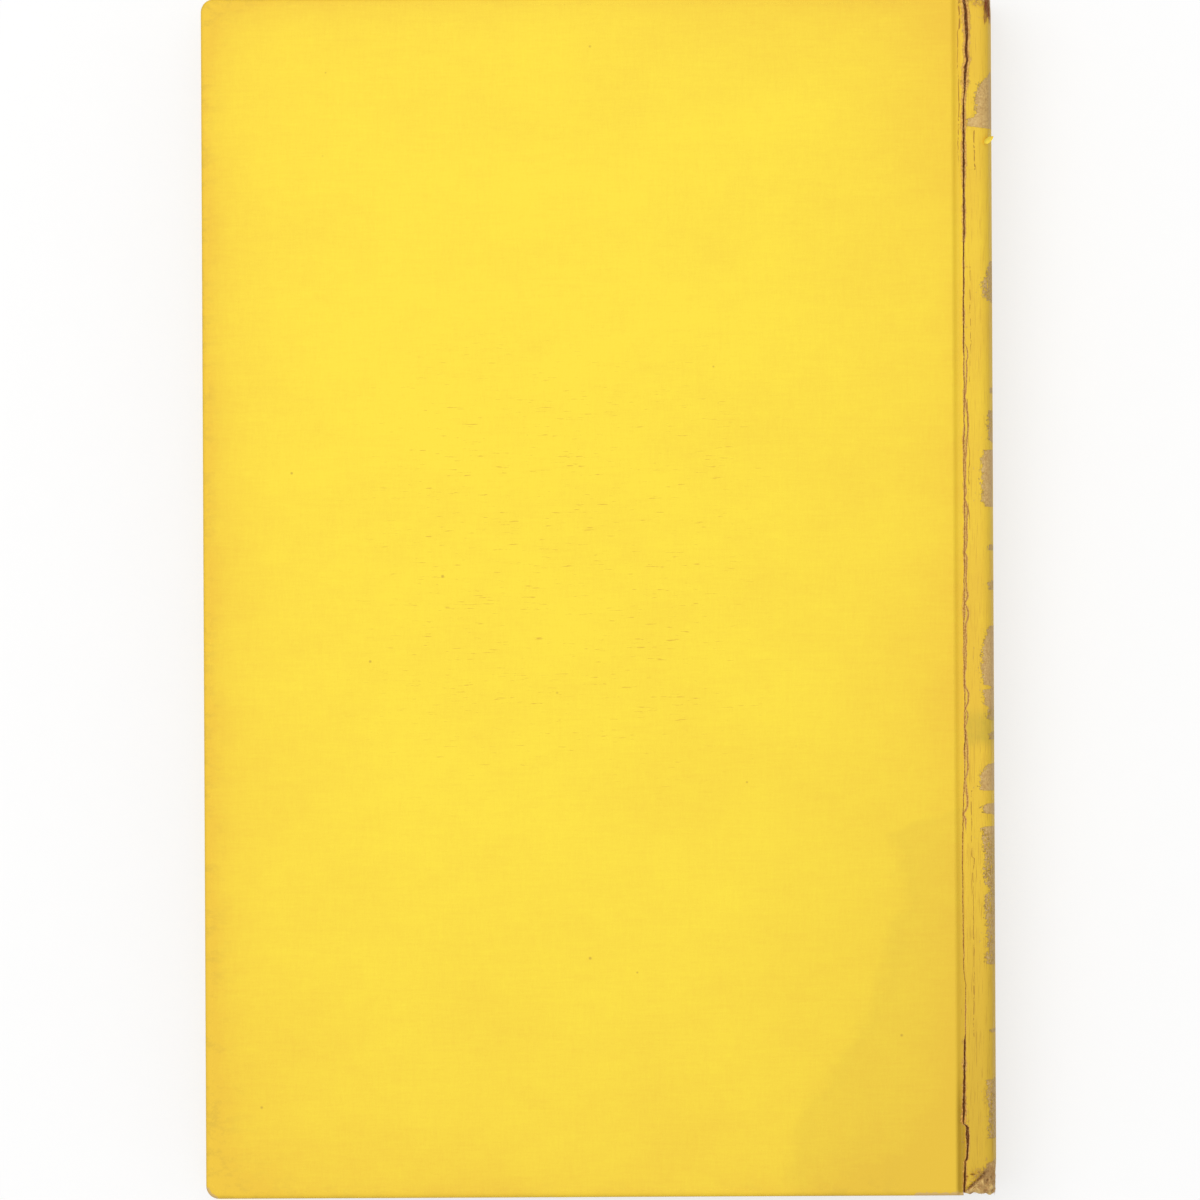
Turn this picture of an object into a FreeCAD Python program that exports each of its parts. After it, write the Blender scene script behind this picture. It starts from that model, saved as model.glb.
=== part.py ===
import FreeCAD, Part
import math
import os

# Case-bound book, closed, lying flat on its front cover with the back cover up. All sizes are in
# millimetres. +X runs from the fore edge to the spine, +Y from the tail to the head, +Z up through the
# thickness. The origin is at the centre of the underside. The cloth along the back joint has split.

# Pages
page_height = 216.0
block_thickness = 16.0
fore_edge_hollow = 2.4        # how far the fore edge curves in at mid thickness
shoulder_angle = 45.0         # outer leaves turn up by this angle at the shoulder

# Sheet materials
cloth_thickness = 0.4
board_thickness = 2.4
endpaper_thickness = 0.2
inlay_thickness = 0.6         # card strip that stiffens the spine of the case
lining_thickness = 0.2        # paper lining on the back of the pages
mull_thickness = 0.3          # open-weave cloth glued to the back of the pages

# Covers
cover_width = 138.7           # fore edge to the board's spine edge, cloth included
square = 3.0                  # how far the covers stand past the pages
turn_in = 15.0                # cloth folded over onto the inner face of a board
corner_radius = 2.4           # worn fore-edge corners, seen from above
edge_radius = 0.9             # rounded edges of a covered board
shoulder_clearance = 0.65     # flat floor of the joint between board and shoulder
groove_depth = 0.5            # dip of the cloth between board and ridge

# Spine
ridge_flat = 2.4              # nearly flat stretch between each ridge and the turn to the back
ridge_slope = 8.0             # downward slope of that stretch, in degrees
spine_corner_radius = 2.4     # turn from the flat stretch to the back
spine_bulge = 0.65            # how far the back stands out past its two corners
ridge_drop = 0.1              # ridge lies this far below the cover's face
inlay_setback = 10.0          # degrees of each turn that the card leaves free

# Splits and ends
back_split = 0.4              # open crack in the cloth along the back joint
front_split = 0.15            # parting of the cloth along the front joint
hinge_lift = 0.05             # pivot lines lie this far outside the cover's face
mull_setback = 12.0           # mull ends this far short of the pages
band_height = 1.6             # head and tail bands, above the page edges
band_depth = 1.8              # across the thickness of the back
band_radius = 0.6             # rounded upper edges of a band

# Levels above mid thickness, for the upper half
cover_height = page_height + 2 * square
leaf_level = block_thickness / 2
paste_level = leaf_level + endpaper_thickness
turn_in_level = paste_level + endpaper_thickness
board_level = turn_in_level + cloth_thickness
face_level = board_level + board_thickness
top_level = face_level + cloth_thickness
ridge_level = top_level - ridge_drop

# Depths below the outer face of the spine cloth
inlay_depth = cloth_thickness
hollow_depth = inlay_depth + inlay_thickness
lining_depth = hollow_depth + cloth_thickness
mull_depth = lining_depth + lining_thickness
block_depth = mull_depth + mull_thickness

# Stations along X, counted from the fore edge
flare = math.radians(shoulder_angle)
ridge_angle = math.radians(90.0 - ridge_slope)
tip_level = ridge_level - block_depth * math.sin(ridge_angle)
paper_turn = math.tan(flare / 2)
flare_run = (tip_level - leaf_level) / math.tan(flare)
board_edge_x = cover_width
bend_x = board_edge_x + shoulder_clearance + 2 * endpaper_thickness * paper_turn
tip_x = bend_x + flare_run
ridge_x = tip_x + block_depth * math.cos(ridge_angle)
flat_run = ridge_flat * math.sin(ridge_angle)
flat_drop = ridge_flat * math.cos(ridge_angle)
crown_x = ridge_x + flat_run + spine_corner_radius * (1 - math.cos(ridge_angle)) + spine_bulge

# The spine's outer face is one wide arc about mid thickness, a tangent turn at each corner of the back, and a
# flat stretch from each turn to its ridge.
turn_rise = ridge_level - flat_drop - spine_corner_radius * math.sin(ridge_angle)
meet_angle = 2 * math.atan2(spine_bulge, turn_rise)
centre_gap = turn_rise / math.sin(meet_angle)
crown_radius = centre_gap + spine_corner_radius
crown_centre = (crown_x - crown_radius, 0.0)
turn_centre = (crown_centre[0] + centre_gap * math.cos(meet_angle), turn_rise)


def vector(point, y=0.0):
    """Station and level as a point in space, with the origin at mid width."""
    return FreeCAD.Vector(point[0] - crown_x / 2, y, point[1])


def around(centre, radius, angle):
    """Point on a circle."""
    return (centre[0] + radius * math.cos(angle), centre[1] + radius * math.sin(angle))


def line(start, end, y):
    """Straight edge."""
    return Part.LineSegment(vector(start, y), vector(end, y)).toShape()


def arc(centre, radius, first, last, y):
    """Arc edge from the first angle to the last."""
    angles = (first, (first + last) / 2, last)
    return Part.Arc(*[vector(around(centre, radius, a), y) for a in angles]).toShape()


def extruded(edges, y, length):
    """Solid with the given outline at y, drawn out along +Y."""
    face = Part.Face(Part.Wire(edges))
    return face.extrude(FreeCAD.Vector(0, length, 0))


def prism(points, y, length):
    """Straight-sided solid through the points."""
    loop = zip(points, points[1:] + points[:1])
    return extruded([line(a, b, y) for a, b in loop], y, length)


def slab(x0, x1, z0, z1, y0, y1):
    """Rectangular solid between two stations, levels and heights."""
    return prism([(x0, z0), (x1, z0), (x1, z1), (x0, z1)], y0, y1 - y0)


def lower(shape):
    """The same shape on the front cover's side."""
    return shape.mirror(FreeCAD.Vector(0, 0, 0), FreeCAD.Vector(0, 0, 1))


def turn_end(depth, setback, side):
    """Point on a turn at a depth below the spine's face, at the back (side 1) or the front (side -1)."""
    x, z = around(turn_centre, spine_corner_radius - depth, ridge_angle - setback)
    return (x, side * z)


def spine_end(depth, setback, side):
    """Where a layer of the spine ends: on the turn where it has a setback, else at the ridge."""
    x, z = turn_end(depth, setback, side)
    if setback > 0:
        return (x, z)
    return (x - flat_run, z + side * flat_drop)


def tail_end(shape):
    """The same shape at the other end of the book."""
    return shape.mirror(FreeCAD.Vector(0, 0, 0), FreeCAD.Vector(0, 1, 0))


def spine_edges(depth, setback, y):
    """Edges that follow the spine at a depth below its face, from one end of the layer to the other."""
    turn = spine_corner_radius - depth
    end_angle = ridge_angle - setback
    front_centre = (turn_centre[0], -turn_centre[1])
    edges = [
        arc(turn_centre, turn, end_angle, meet_angle, y),
        arc(crown_centre, crown_radius - depth, meet_angle, -meet_angle, y),
        arc(front_centre, turn, -meet_angle, -end_angle, y),
    ]
    if setback == 0:
        for side in (1, -1):
            edges.append(line(spine_end(depth, setback, side), turn_end(depth, setback, side), y))
    return edges


def spine_layer(outer, inner, setback, y0, y1):
    """Sheet that follows the spine between two depths."""
    edges = spine_edges(outer, setback, y0)
    edges.append(line(spine_end(outer, setback, -1), spine_end(inner, setback, -1), y0))
    edges.extend(spine_edges(inner, setback, y0))
    edges.append(line(spine_end(inner, setback, 1), spine_end(outer, setback, 1), y0))
    return extruded(Part.__sortEdges__(edges), y0, y1 - y0)


def text_block():
    """All the pages: rounded back, shoulders turned up and down, hollow fore edge."""
    y = -page_height / 2
    half = leaf_level
    fore_radius = (half ** 2 + fore_edge_hollow ** 2) / (2 * fore_edge_hollow)
    fore_angle = math.asin(half / fore_radius)
    fore_centre = (square + fore_edge_hollow - fore_radius, 0.0)
    tip = (tip_x, tip_level)
    edges = [line((square, half), (bend_x, half), y), line((bend_x, half), tip, y)]
    edges.extend(spine_edges(block_depth, 0, y))
    edges.append(line((tip_x, -tip_level), (bend_x, -half), y))
    edges.append(line((bend_x, -half), (square, -half), y))
    edges.append(arc(fore_centre, fore_radius, -fore_angle, fore_angle, y))
    return extruded(Part.__sortEdges__(edges), y, page_height)


def endpaper_points(depth):
    """Upper line of an endpaper at a depth above the pages: fore edge, bend, end at the ridge."""
    side = (-math.sin(flare) * depth, math.cos(flare) * depth)
    bend = (bend_x - depth * paper_turn, leaf_level + depth)
    return [(square, leaf_level + depth), bend, (tip_x + side[0], tip_level + side[1])]


def endpaper(first, last):
    """Sheet between two depths above the pages, turned up at the shoulder."""
    points = endpaper_points(first) + endpaper_points(last)[::-1]
    return prism(points, -page_height / 2, page_height)


def flyleaf():
    """Loose half of an endpaper, against the pages."""
    return endpaper(0.0, endpaper_thickness)


def pastedown():
    """Half of an endpaper glued to a board. It steps down onto the cloth turned in around the board."""
    sheet = endpaper(endpaper_thickness, 2 * endpaper_thickness)
    reach = cover_height / 2 - turn_in
    hollow = endpaper_thickness
    raised = slab(turn_in, board_edge_x, paste_level, board_level, -reach, reach)
    inner_reach = reach - hollow
    inner_level = board_level - hollow
    pocket = slab(turn_in + hollow, board_edge_x - hollow, paste_level, inner_level, -inner_reach, inner_reach)
    return sheet.fuse(raised).cut(pocket).removeSplitter()


def fore_corners(shape, radius):
    """Shape with its two upright edges at the fore edge rounded."""
    x_min = shape.BoundBox.XMin
    fore = [e for e in shape.Edges if e.BoundBox.XMax < x_min + 0.001]
    upright = [e for e in fore if e.BoundBox.YLength < 0.001 < e.BoundBox.ZLength]
    return shape.makeFillet(radius, upright)


def long_edges(shape, radius):
    """Shape with the edges of its two faces rounded at the head, the tail and the fore edge."""
    x_max = shape.BoundBox.XMax
    flat = [e for e in shape.Edges if e.BoundBox.ZLength < 0.001 and e.BoundBox.XMin < x_max - 0.001]
    return shape.makeFillet(radius, flat)


def rounded_plate(inset, z0, z1):
    """Plate of a cover's outline, drawn in by an inset on three sides, square at the spine side."""
    reach = cover_height / 2 - inset
    plate = slab(inset, board_edge_x, z0, z1, -reach, reach)
    plate = fore_corners(plate, corner_radius - inset)
    return long_edges(plate, edge_radius - inset)


def board():
    """Stiff board of one cover."""
    return rounded_plate(cloth_thickness, board_level, face_level)


def joint_edges(split, depth, y):
    """Edges of the cloth's dip beside the board: two equal flanks, each of two equal arcs."""
    flank = (ridge_x - split - board_edge_x) / 2
    turn = 2 * math.atan2(groove_depth, flank)
    radius = flank / (2 * math.sin(turn))
    up, down = math.pi / 2, -math.pi / 2
    centres = [(0, -radius), (flank, radius - groove_depth), (flank, radius - groove_depth), (2 * flank, -radius)]
    sweeps = [(up, up - turn), (down - turn, down), (down, down + turn), (up + turn, up)]
    bulges = [-depth, depth, depth, -depth]
    edges = []
    for (x, z), (first, last), bulge in zip(centres, sweeps, bulges):
        centre = (board_edge_x + x, top_level + z)
        edges.append(arc(centre, radius + bulge, first, last, y))
    return edges


def joint_strip(split, thickness, y0, y1):
    """Cloth that dips between the board and the ridge."""
    end = ridge_x - split
    edges = joint_edges(split, 0.0, y0) + joint_edges(split, thickness, y0)
    for x in (board_edge_x, end):
        edges.append(line((x, top_level), (x, top_level - thickness), y0))
    return extruded(Part.__sortEdges__(edges), y0, y1 - y0)


def cover_cloth(split):
    """Cloth of one cover: face, rounded edges, cloth turned in around the board, and the joint."""
    half = cover_height / 2
    window_reach = half - turn_in
    shell = rounded_plate(0.0, turn_in_level, top_level)
    shell = shell.cut(board())
    shell = shell.cut(slab(turn_in, board_edge_x, turn_in_level, board_level, -window_reach, window_reach))
    pieces = [joint_strip(split, cloth_thickness, -half, half)]
    pieces.append(joint_strip(split, 2 * cloth_thickness, -half, -window_reach))
    pieces.append(joint_strip(split, 2 * cloth_thickness, window_reach, half))
    return shell.fuse(pieces).removeSplitter()


def spine_cloth():
    """Cloth over the rounded spine, turned in over the card at the head and the tail."""
    half = cover_height / 2
    sheet = spine_layer(0.0, cloth_thickness, 0, -half, half)
    folded = spine_layer(hollow_depth, lining_depth, 0, half - turn_in, half)
    edge = spine_layer(0.0, lining_depth, 0, half - cloth_thickness, half)
    return sheet.fuse([folded, edge, tail_end(folded), tail_end(edge)]).removeSplitter()


def spine_inlay():
    """Card strip inside the spine cloth."""
    reach = cover_height / 2 - cloth_thickness
    return spine_layer(inlay_depth, hollow_depth, math.radians(inlay_setback), -reach, reach)


def spine_lining():
    """Paper glued over the mull."""
    return spine_layer(lining_depth, mull_depth, 0, -page_height / 2, page_height / 2)


def spine_mull():
    """Open-weave cloth glued to the back of the pages."""
    reach = page_height / 2 - mull_setback
    return spine_layer(mull_depth, block_depth, 0, -reach, reach)


def end_band():
    """Band across the back of the pages at the head, with its upper edges rounded."""
    y = page_height / 2
    outer_radius = crown_radius - block_depth
    inner_radius = outer_radius - band_depth
    edges = [arc(crown_centre, r, meet_angle, -meet_angle, y) for r in (outer_radius, inner_radius)]
    for angle in (meet_angle, -meet_angle):
        outer, inner = (around(crown_centre, r, angle) for r in (outer_radius, inner_radius))
        edges.append(line(outer, inner, y))
    band = extruded(Part.__sortEdges__(edges), y, band_height)
    upper = [e for e in band.Edges if e.BoundBox.YMin > y + band_height - 0.001]
    return band.makeFillet(band_radius, upper)


def book():
    """Every piece by name, about mid thickness."""
    pieces = {
        "text_block": text_block(),
        "back_flyleaf": flyleaf(),
        "front_flyleaf": lower(flyleaf()),
        "spine_mull": spine_mull(),
        "spine_lining": spine_lining(),
        "spine_inlay": spine_inlay(),
        "spine_cloth": spine_cloth(),
        "head_band": end_band(),
        "tail_band": tail_end(end_band()),
        "back_board": board(),
        "back_pastedown": pastedown(),
        "back_cover_cloth": cover_cloth(back_split),
        "front_board": lower(board()),
        "front_pastedown": lower(pastedown()),
        "front_cover_cloth": lower(cover_cloth(front_split)),
    }
    return pieces


os.makedirs("parts", exist_ok=True)
for name, shape in book().items():
    shape.translate(FreeCAD.Vector(0, 0, top_level))
    shape.exportStep(f"parts/{name}.step")
    print(f"{name}: {len(shape.Solids)} solid, {shape.Volume:.1f} mm3, valid {shape.isValid()}")

back_hinge = (ridge_x - back_split / 2 - crown_x / 2, 2 * top_level + hinge_lift)
front_hinge = (ridge_x - front_split / 2 - crown_x / 2, -hinge_lift)
print(f"hinge lines, x and z: back {back_hinge}, front {front_hinge}")
print(f"overall: {crown_x:.2f} by {cover_height:.2f} by {2 * top_level:.2f}")
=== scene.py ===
import logging
import math
from dataclasses import dataclass
from enum import Enum
from typing import Callable, Optional, Sequence, Union

import bmesh
import bpy
import numpy as np
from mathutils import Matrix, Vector


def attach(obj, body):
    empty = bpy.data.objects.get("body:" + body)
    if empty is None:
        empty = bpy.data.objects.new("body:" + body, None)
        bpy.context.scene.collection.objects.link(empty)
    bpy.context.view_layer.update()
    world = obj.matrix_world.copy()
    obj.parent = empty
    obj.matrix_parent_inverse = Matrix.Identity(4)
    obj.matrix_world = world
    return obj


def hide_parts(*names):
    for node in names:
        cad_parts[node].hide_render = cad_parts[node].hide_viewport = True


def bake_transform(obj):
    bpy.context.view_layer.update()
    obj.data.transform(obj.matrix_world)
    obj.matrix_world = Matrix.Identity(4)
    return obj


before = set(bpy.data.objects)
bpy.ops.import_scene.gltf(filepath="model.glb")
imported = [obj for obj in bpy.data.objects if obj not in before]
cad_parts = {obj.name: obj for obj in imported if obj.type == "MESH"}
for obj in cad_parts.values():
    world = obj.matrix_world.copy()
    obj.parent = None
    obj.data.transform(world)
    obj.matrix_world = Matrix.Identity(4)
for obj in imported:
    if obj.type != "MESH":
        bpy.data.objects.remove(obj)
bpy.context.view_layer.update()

# Case-bound book, closed, lying on its front cover. Lengths are in millimetres until a mesh is made.
MM = 0.001
log = logging.getLogger("book")
Number = Union[int, float]
Colour = tuple[float, float, float]
Stations = tuple[tuple[float, ...], ...]


def srgb(red: int, green: int, blue: int) -> Colour:
    """Linear colour of an 8-bit one: the share to the power 2.4, with the short straight foot."""
    parts = [v / 255 for v in (red, green, blue)]
    return tuple(p / 12.92 if p <= 0.04045 else ((p + 0.055) / 1.055) ** 2.4 for p in parts)


def ramp(value: np.ndarray, low: float, high: float) -> np.ndarray:
    """Smooth step from 0 at low to 1 at high: 3 t squared less 2 t cubed."""
    t = np.clip((value - low) / (high - low), 0, 1)
    return t * t * (3 - 2 * t)


def wander(at: np.ndarray, pitch: float, seed: int) -> np.ndarray:
    """Smooth seeded noise along a line: random heights, and half a cosine wave from each to the next.

    Args:
        at: places on the line.
        pitch: distance between two heights.
        seed: number that chooses the heights.

    Returns:
        The noise, from -1 to 1.
    """
    count = 4096
    heights = np.random.default_rng(seed).uniform(-1, 1, count)
    place = np.asarray(at) / pitch + count / 2
    cell = np.floor(place).astype(int)
    part = (1 - np.cos(np.pi * (place - cell))) / 2
    return heights[cell % count] * (1 - part) + heights[(cell + 1) % count] * part


def mottle(u: np.ndarray, v: np.ndarray, pitch: float, seed: int) -> np.ndarray:
    """The same noise over a plane, with the random heights on a square lattice.

    Args:
        u: places along one side of the lattice.
        v: places along the other side.
        pitch: distance between two heights.
        seed: number that chooses the heights.

    Returns:
        The noise, from -1 to 1.
    """
    count = 512
    heights = np.random.default_rng(seed).uniform(-1, 1, (count, count))
    pu, pv = (np.asarray(place) / pitch + count / 2 for place in (u, v))
    iu, iv = np.floor(pu).astype(int), np.floor(pv).astype(int)
    fu, fv = ((1 - np.cos(np.pi * (p - i))) / 2 for p, i in ((pu, iu), (pv, iv)))
    low, high = (heights[iu % count, j % count] * (1 - fu) + heights[(iu + 1) % count, j % count] * fu
                 for j in (iv, iv + 1))
    return low * (1 - fv) + high * fv


def between(stations: Stations, y: np.ndarray, column: int = 1) -> np.ndarray:
    """Straight runs through one column of stations, each of which starts with its height."""
    return np.interp(y, [station[0] for station in stations], [station[column] for station in stations])


# Shader building


class Value:
    """Output of a node, with the arithmetic that turns an expression into Math nodes."""

    def __init__(self, net: "Net", socket: bpy.types.NodeSocket) -> None:
        """Wraps one socket of a net."""
        self.net, self.socket = net, socket

    def _math(self, kind: str, *others: Union["Value", Number]) -> "Value":
        """Adds one Math node with this value and the others as inputs."""
        return self.net.node("ShaderNodeMath", {"operation": kind}, dict(enumerate(others)))

    def __add__(self, other: Union["Value", Number]) -> "Value":
        """Sum."""
        return self._math("ADD", self, other)

    __radd__ = __add__

    def __sub__(self, other: Union["Value", Number]) -> "Value":
        """Difference."""
        return self._math("SUBTRACT", self, other)

    def __rsub__(self, other: Number) -> "Value":
        """Number less this value."""
        return self._math("SUBTRACT", other, self)

    def __mul__(self, other: Union["Value", Number]) -> "Value":
        """Product."""
        return self._math("MULTIPLY", self, other)

    __rmul__ = __mul__

    def __truediv__(self, other: Union["Value", Number]) -> "Value":
        """Quotient."""
        return self._math("DIVIDE", self, other)

    def __pow__(self, other: Number) -> "Value":
        """Power."""
        return self._math("POWER", self, other)

    def __abs__(self) -> "Value":
        """Size without sign."""
        return self._math("ABSOLUTE", self)

    def most(self, other: Union["Value", Number]) -> "Value":
        """Greater of the two."""
        return self._math("MAXIMUM", self, other)

    def least(self, other: Union["Value", Number]) -> "Value":
        """Smaller of the two."""
        return self._math("MINIMUM", self, other)

    def sine(self) -> "Value":
        """Sine of the value in radians."""
        return self._math("SINE", self)

    def fade(self, length: Number) -> "Value":
        """1 at zero, falling by e over each length."""
        return self._math("EXPONENT", self / (-length))

    def step(self, low: Number, high: Number) -> "Value":
        """Smooth step from 0 at low to 1 at high, or from 1 to 0 where high is the lesser.

        Args:
            low: where the step starts.
            high: where it ends.

        Returns:
            The step.
        """
        ends = {"From Min": low, "From Max": high} if low < high else {
            "From Min": high, "From Max": low, "To Min": 1.0, "To Max": 0.0}
        settings = {"interpolation_type": "SMOOTHSTEP"}
        return self.net.node("ShaderNodeMapRange", settings, {"Value": self, **ends})


class Net:
    """Nodes of one material, with the coordinates of the object in millimetres."""

    def __init__(self, name: str) -> None:
        """Makes an empty material of this name."""
        self.material = bpy.data.materials.new(name)
        self.material.use_nodes = True
        self.tree = self.material.node_tree
        self.tree.nodes.clear()
        place = self.node("ShaderNodeTexCoord", {}, {}, "Object")
        self.place = self.node("ShaderNodeVectorMath", {"operation": "SCALE"}, {0: place, "Scale": 1 / MM})
        self.x, self.y, self.z = (self.node("ShaderNodeSeparateXYZ", {}, {0: self.place}, k) for k in "XYZ")

    def node(self, kind: str, settings: dict, inputs: dict, output: Union[str, int] = 0) -> Value:
        """Adds one node.

        Args:
            kind: type of the node.
            settings: its properties, set first.
            inputs: numbers, tuples or values by socket name or index.
            output: which output to return.

        Returns:
            The chosen output.
        """
        made = self.tree.nodes.new(kind)
        for name, setting in settings.items():
            setattr(made, name, setting)
        for key, given in inputs.items():
            if isinstance(given, Value):
                self.tree.links.new(given.socket, made.inputs[key])
            else:
                made.inputs[key].default_value = given
        return Value(self, made.outputs[output])

    def field(self, name: str) -> Value:
        """Attribute that the mesh carries."""
        return self.node("ShaderNodeAttribute", {"attribute_name": name}, {}, "Fac")

    def noise(self, pitch: Sequence[Number], detail: Number = 2, rough: Number = 0.5, shift: Number = 0,
              at: Optional[Value] = None) -> Value:
        """Noise about 0.5 whose grains have the given length along each axis, in millimetres.

        Args:
            pitch: length of a grain along each axis.
            detail: number of finer octaves.
            rough: strength of each octave against the one before.
            shift: moves the noise, so that two differ.
            at: place, if not the object's own.

        Returns:
            The noise.
        """
        scale = tuple(1 / p for p in pitch)
        moved = {0: at or self.place, "Scale": scale, "Location": (shift,) * 3}
        spot = self.node("ShaderNodeMapping", {}, moved)
        inputs = {"Vector": spot, "Scale": 1.0, "Detail": detail, "Roughness": rough}
        return self.node("ShaderNodeTexNoise", {}, inputs)

    def dots(self, cell: Number, radius: Number, chance: Number, shift: Number = 0) -> Value:
        """Scattered round specks: 1 inside each one.

        A cell of the given size holds a speck with the given chance, up to the given radius.

        Args:
            cell: size of a cell.
            radius: greatest radius of a speck.
            chance: share of the cells with a speck.
            shift: moves the specks.

        Returns:
            The specks.
        """
        spot = self.node("ShaderNodeMapping", {}, {
            0: self.place, "Scale": (1 / cell,) * 3, "Location": (shift,) * 3})
        settings = {"feature": "F1"}
        near = self.node("ShaderNodeTexVoronoi", settings, {"Vector": spot, "Scale": 1.0}, "Distance")
        tint = self.node("ShaderNodeTexVoronoi", settings, {"Vector": spot, "Scale": 1.0}, "Color")
        luck = self.node("ShaderNodeSeparateColor", {}, {0: tint}, 0)
        size = self.node("ShaderNodeSeparateColor", {}, {0: tint}, 1) * (radius / cell)
        return (near - size).step(0.03, -0.01) * luck.step(chance, chance * 0.9)

    def mix(self, share: Union[Value, Number], first: Union[Value, Colour],
            second: Union[Value, Colour]) -> Value:
        """Colour between two, by share.

        Args:
            share: 0 for the first, 1 for the second.
            first: a colour.
            second: another.

        Returns:
            The colour.
        """
        inputs = {0: share}
        for key, given in ((6, first), (7, second)):
            inputs[key] = given if isinstance(given, Value) else (*given, 1.0)
        return self.node("ShaderNodeMix", {"data_type": "RGBA"}, inputs, 2)

    def toned(self, share: Value, pale: Colour, dark: Colour) -> Value:
        """Colour between a pale and a dark one, by a share that is held between 0 and 1."""
        return self.mix(share.most(0.0).least(1.0), pale, dark)

    def bump(self, height: Value, distance: Number) -> Value:
        """Normal tilted by a height, whose full range is the distance in millimetres."""
        inputs = {"Height": height, "Distance": distance * MM}
        return self.node("ShaderNodeBump", {}, inputs)

    def finish(self, colour: Value, roughness: Union[Value, Number], normal: Value,
               **fixed: Union[Number, Colour]) -> bpy.types.Material:
        """Closes the net with one surface shader.

        Args:
            colour: base colour.
            roughness: roughness.
            normal: tilted normal.
            fixed: other inputs of the shader by name, with underscores for spaces.

        Returns:
            The material.
        """
        inputs = {"Base Color": colour, "Roughness": roughness, "Normal": normal}
        inputs.update({k.replace("_", " "): v for k, v in fixed.items()})
        surface = self.node("ShaderNodeBsdfPrincipled", {}, inputs)
        self.node_output(surface)
        return self.material

    def node_output(self, surface: Value) -> None:
        """Joins a shader to the material's output."""
        output = self.tree.nodes.new("ShaderNodeOutputMaterial")
        self.tree.links.new(surface.socket, output.inputs["Surface"])


# Shapes of the closed book


@dataclass(frozen=True)
class Section:
    """Cross-section of the closed book, levels counted from mid thickness."""

    cover_level: float = 11.6
    ridge_x: float = 68.153
    ridge_level: float = 11.5
    ridge_flat: float = 2.4
    slope: float = math.radians(82.0)
    corner: float = 2.4
    bulge: float = 0.65
    board_x: float = 65.4544
    fore_x: float = -73.2456
    half_height: float = 111.0
    groove: float = 0.5
    groove_end: float = 67.753
    tail_sink: float = 0.35
    tail_sink_y: tuple[float, float] = (84.0, 97.0)
    drop_x: float = 67.4

    @property
    def turn(self) -> tuple[float, float]:
        """Centre of the turn at the back corner of the spine."""
        across, down = math.sin(self.slope), math.cos(self.slope)
        return (self.ridge_x + self.ridge_flat * across - self.corner * down,
                self.ridge_level - self.ridge_flat * down - self.corner * across)

    @property
    def meet(self) -> float:
        """Angle where the turn meets the wide arc of the back."""
        return 2 * math.atan2(self.bulge, self.turn[1])

    @property
    def crown(self) -> tuple[float, float]:
        """Centre and radius of the wide arc of the back."""
        radius = self.turn[1] / math.sin(self.meet) + self.corner
        return (self.turn[0] + self.corner + self.bulge - radius, radius)

    @property
    def girth(self) -> float:
        """Length of the spine's face from ridge to ridge."""
        return 2 * (self.ridge_flat + self.corner * (self.slope - self.meet) + self.crown[1] * self.meet)

    def dip(self, x: np.ndarray, y: np.ndarray) -> np.ndarray:
        """Depth of the joint below the cover's face.

        One full cosine wave between the board's edge and the ridge, deeper near the tail, and a small
        smooth drop to the ridge's own level.

        Args:
            x: places across the book.
            y: heights on the book.

        Returns:
            The depth.
        """
        t = np.clip((x - self.board_x) / (self.groove_end - self.board_x), 0, 1)
        depth = self.groove + self.tail_sink * ramp(-y, *self.tail_sink_y)
        drop = self.cover_level - self.ridge_level
        return depth * (1 - np.cos(2 * np.pi * t)) / 2 + drop * ramp(x, self.drop_x, self.ridge_x)

    def spine(self, s: np.ndarray, y: np.ndarray) -> tuple[np.ndarray, np.ndarray, np.ndarray, np.ndarray]:
        """Face of the spine at a distance from the back ridge.

        A straight stretch, a circular turn, half of the wide arc, and the same mirrored. Short of the ridge
        the face goes on into the joint.

        Args:
            s: distance along the face, negative towards the joint.
            y: height on the book.

        Returns:
            x, level, and the two parts of the outward normal.
        """
        t = np.minimum(s, self.girth - s)
        side = np.where(s <= self.girth / 2, 1.0, -1.0)
        first = self.ridge_flat
        second = first + self.corner * (self.slope - self.meet)
        angle = np.where(t < first, self.slope, self.slope - (t - first) / self.corner)
        angle = np.where(t > second, self.meet - (t - second) / self.crown[1], angle)
        in_turn, in_crown = t >= first, t > second
        x = self.ridge_x + t * math.sin(self.slope)
        z = self.ridge_level - t * math.cos(self.slope)
        x = np.where(in_turn, self.turn[0] + self.corner * np.cos(angle), x)
        z = np.where(in_turn, self.turn[1] + self.corner * np.sin(angle), z)
        x = np.where(in_crown, self.crown[0] + self.crown[1] * np.cos(angle), x)
        z = np.where(in_crown, self.crown[1] * np.sin(angle), z)
        x = np.where(t < 0, self.ridge_x + t, x)
        z = np.where(t < 0, self.cover_level - self.dip(x, y), z)
        angle = np.where(t < 0, math.pi / 2, angle)
        return x, z * side, np.cos(angle), np.sin(angle) * side

    def layer(self, s: np.ndarray, y: np.ndarray, depth: np.ndarray) -> np.ndarray:
        """Points at a depth below the spine's face: the face less its normal times the depth."""
        x, z, nx, nz = self.spine(s, y)
        return np.stack(np.broadcast_arrays(x - nx * depth, y, z - nz * depth), -1)

    def distance_at(self, x: np.ndarray) -> np.ndarray:
        """Distance along the back half of the spine's face at which it reaches x."""
        s = np.linspace(-3, self.girth / 2, 4000)
        return np.interp(x, self.spine(s, np.zeros_like(s))[0], s)


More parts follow.
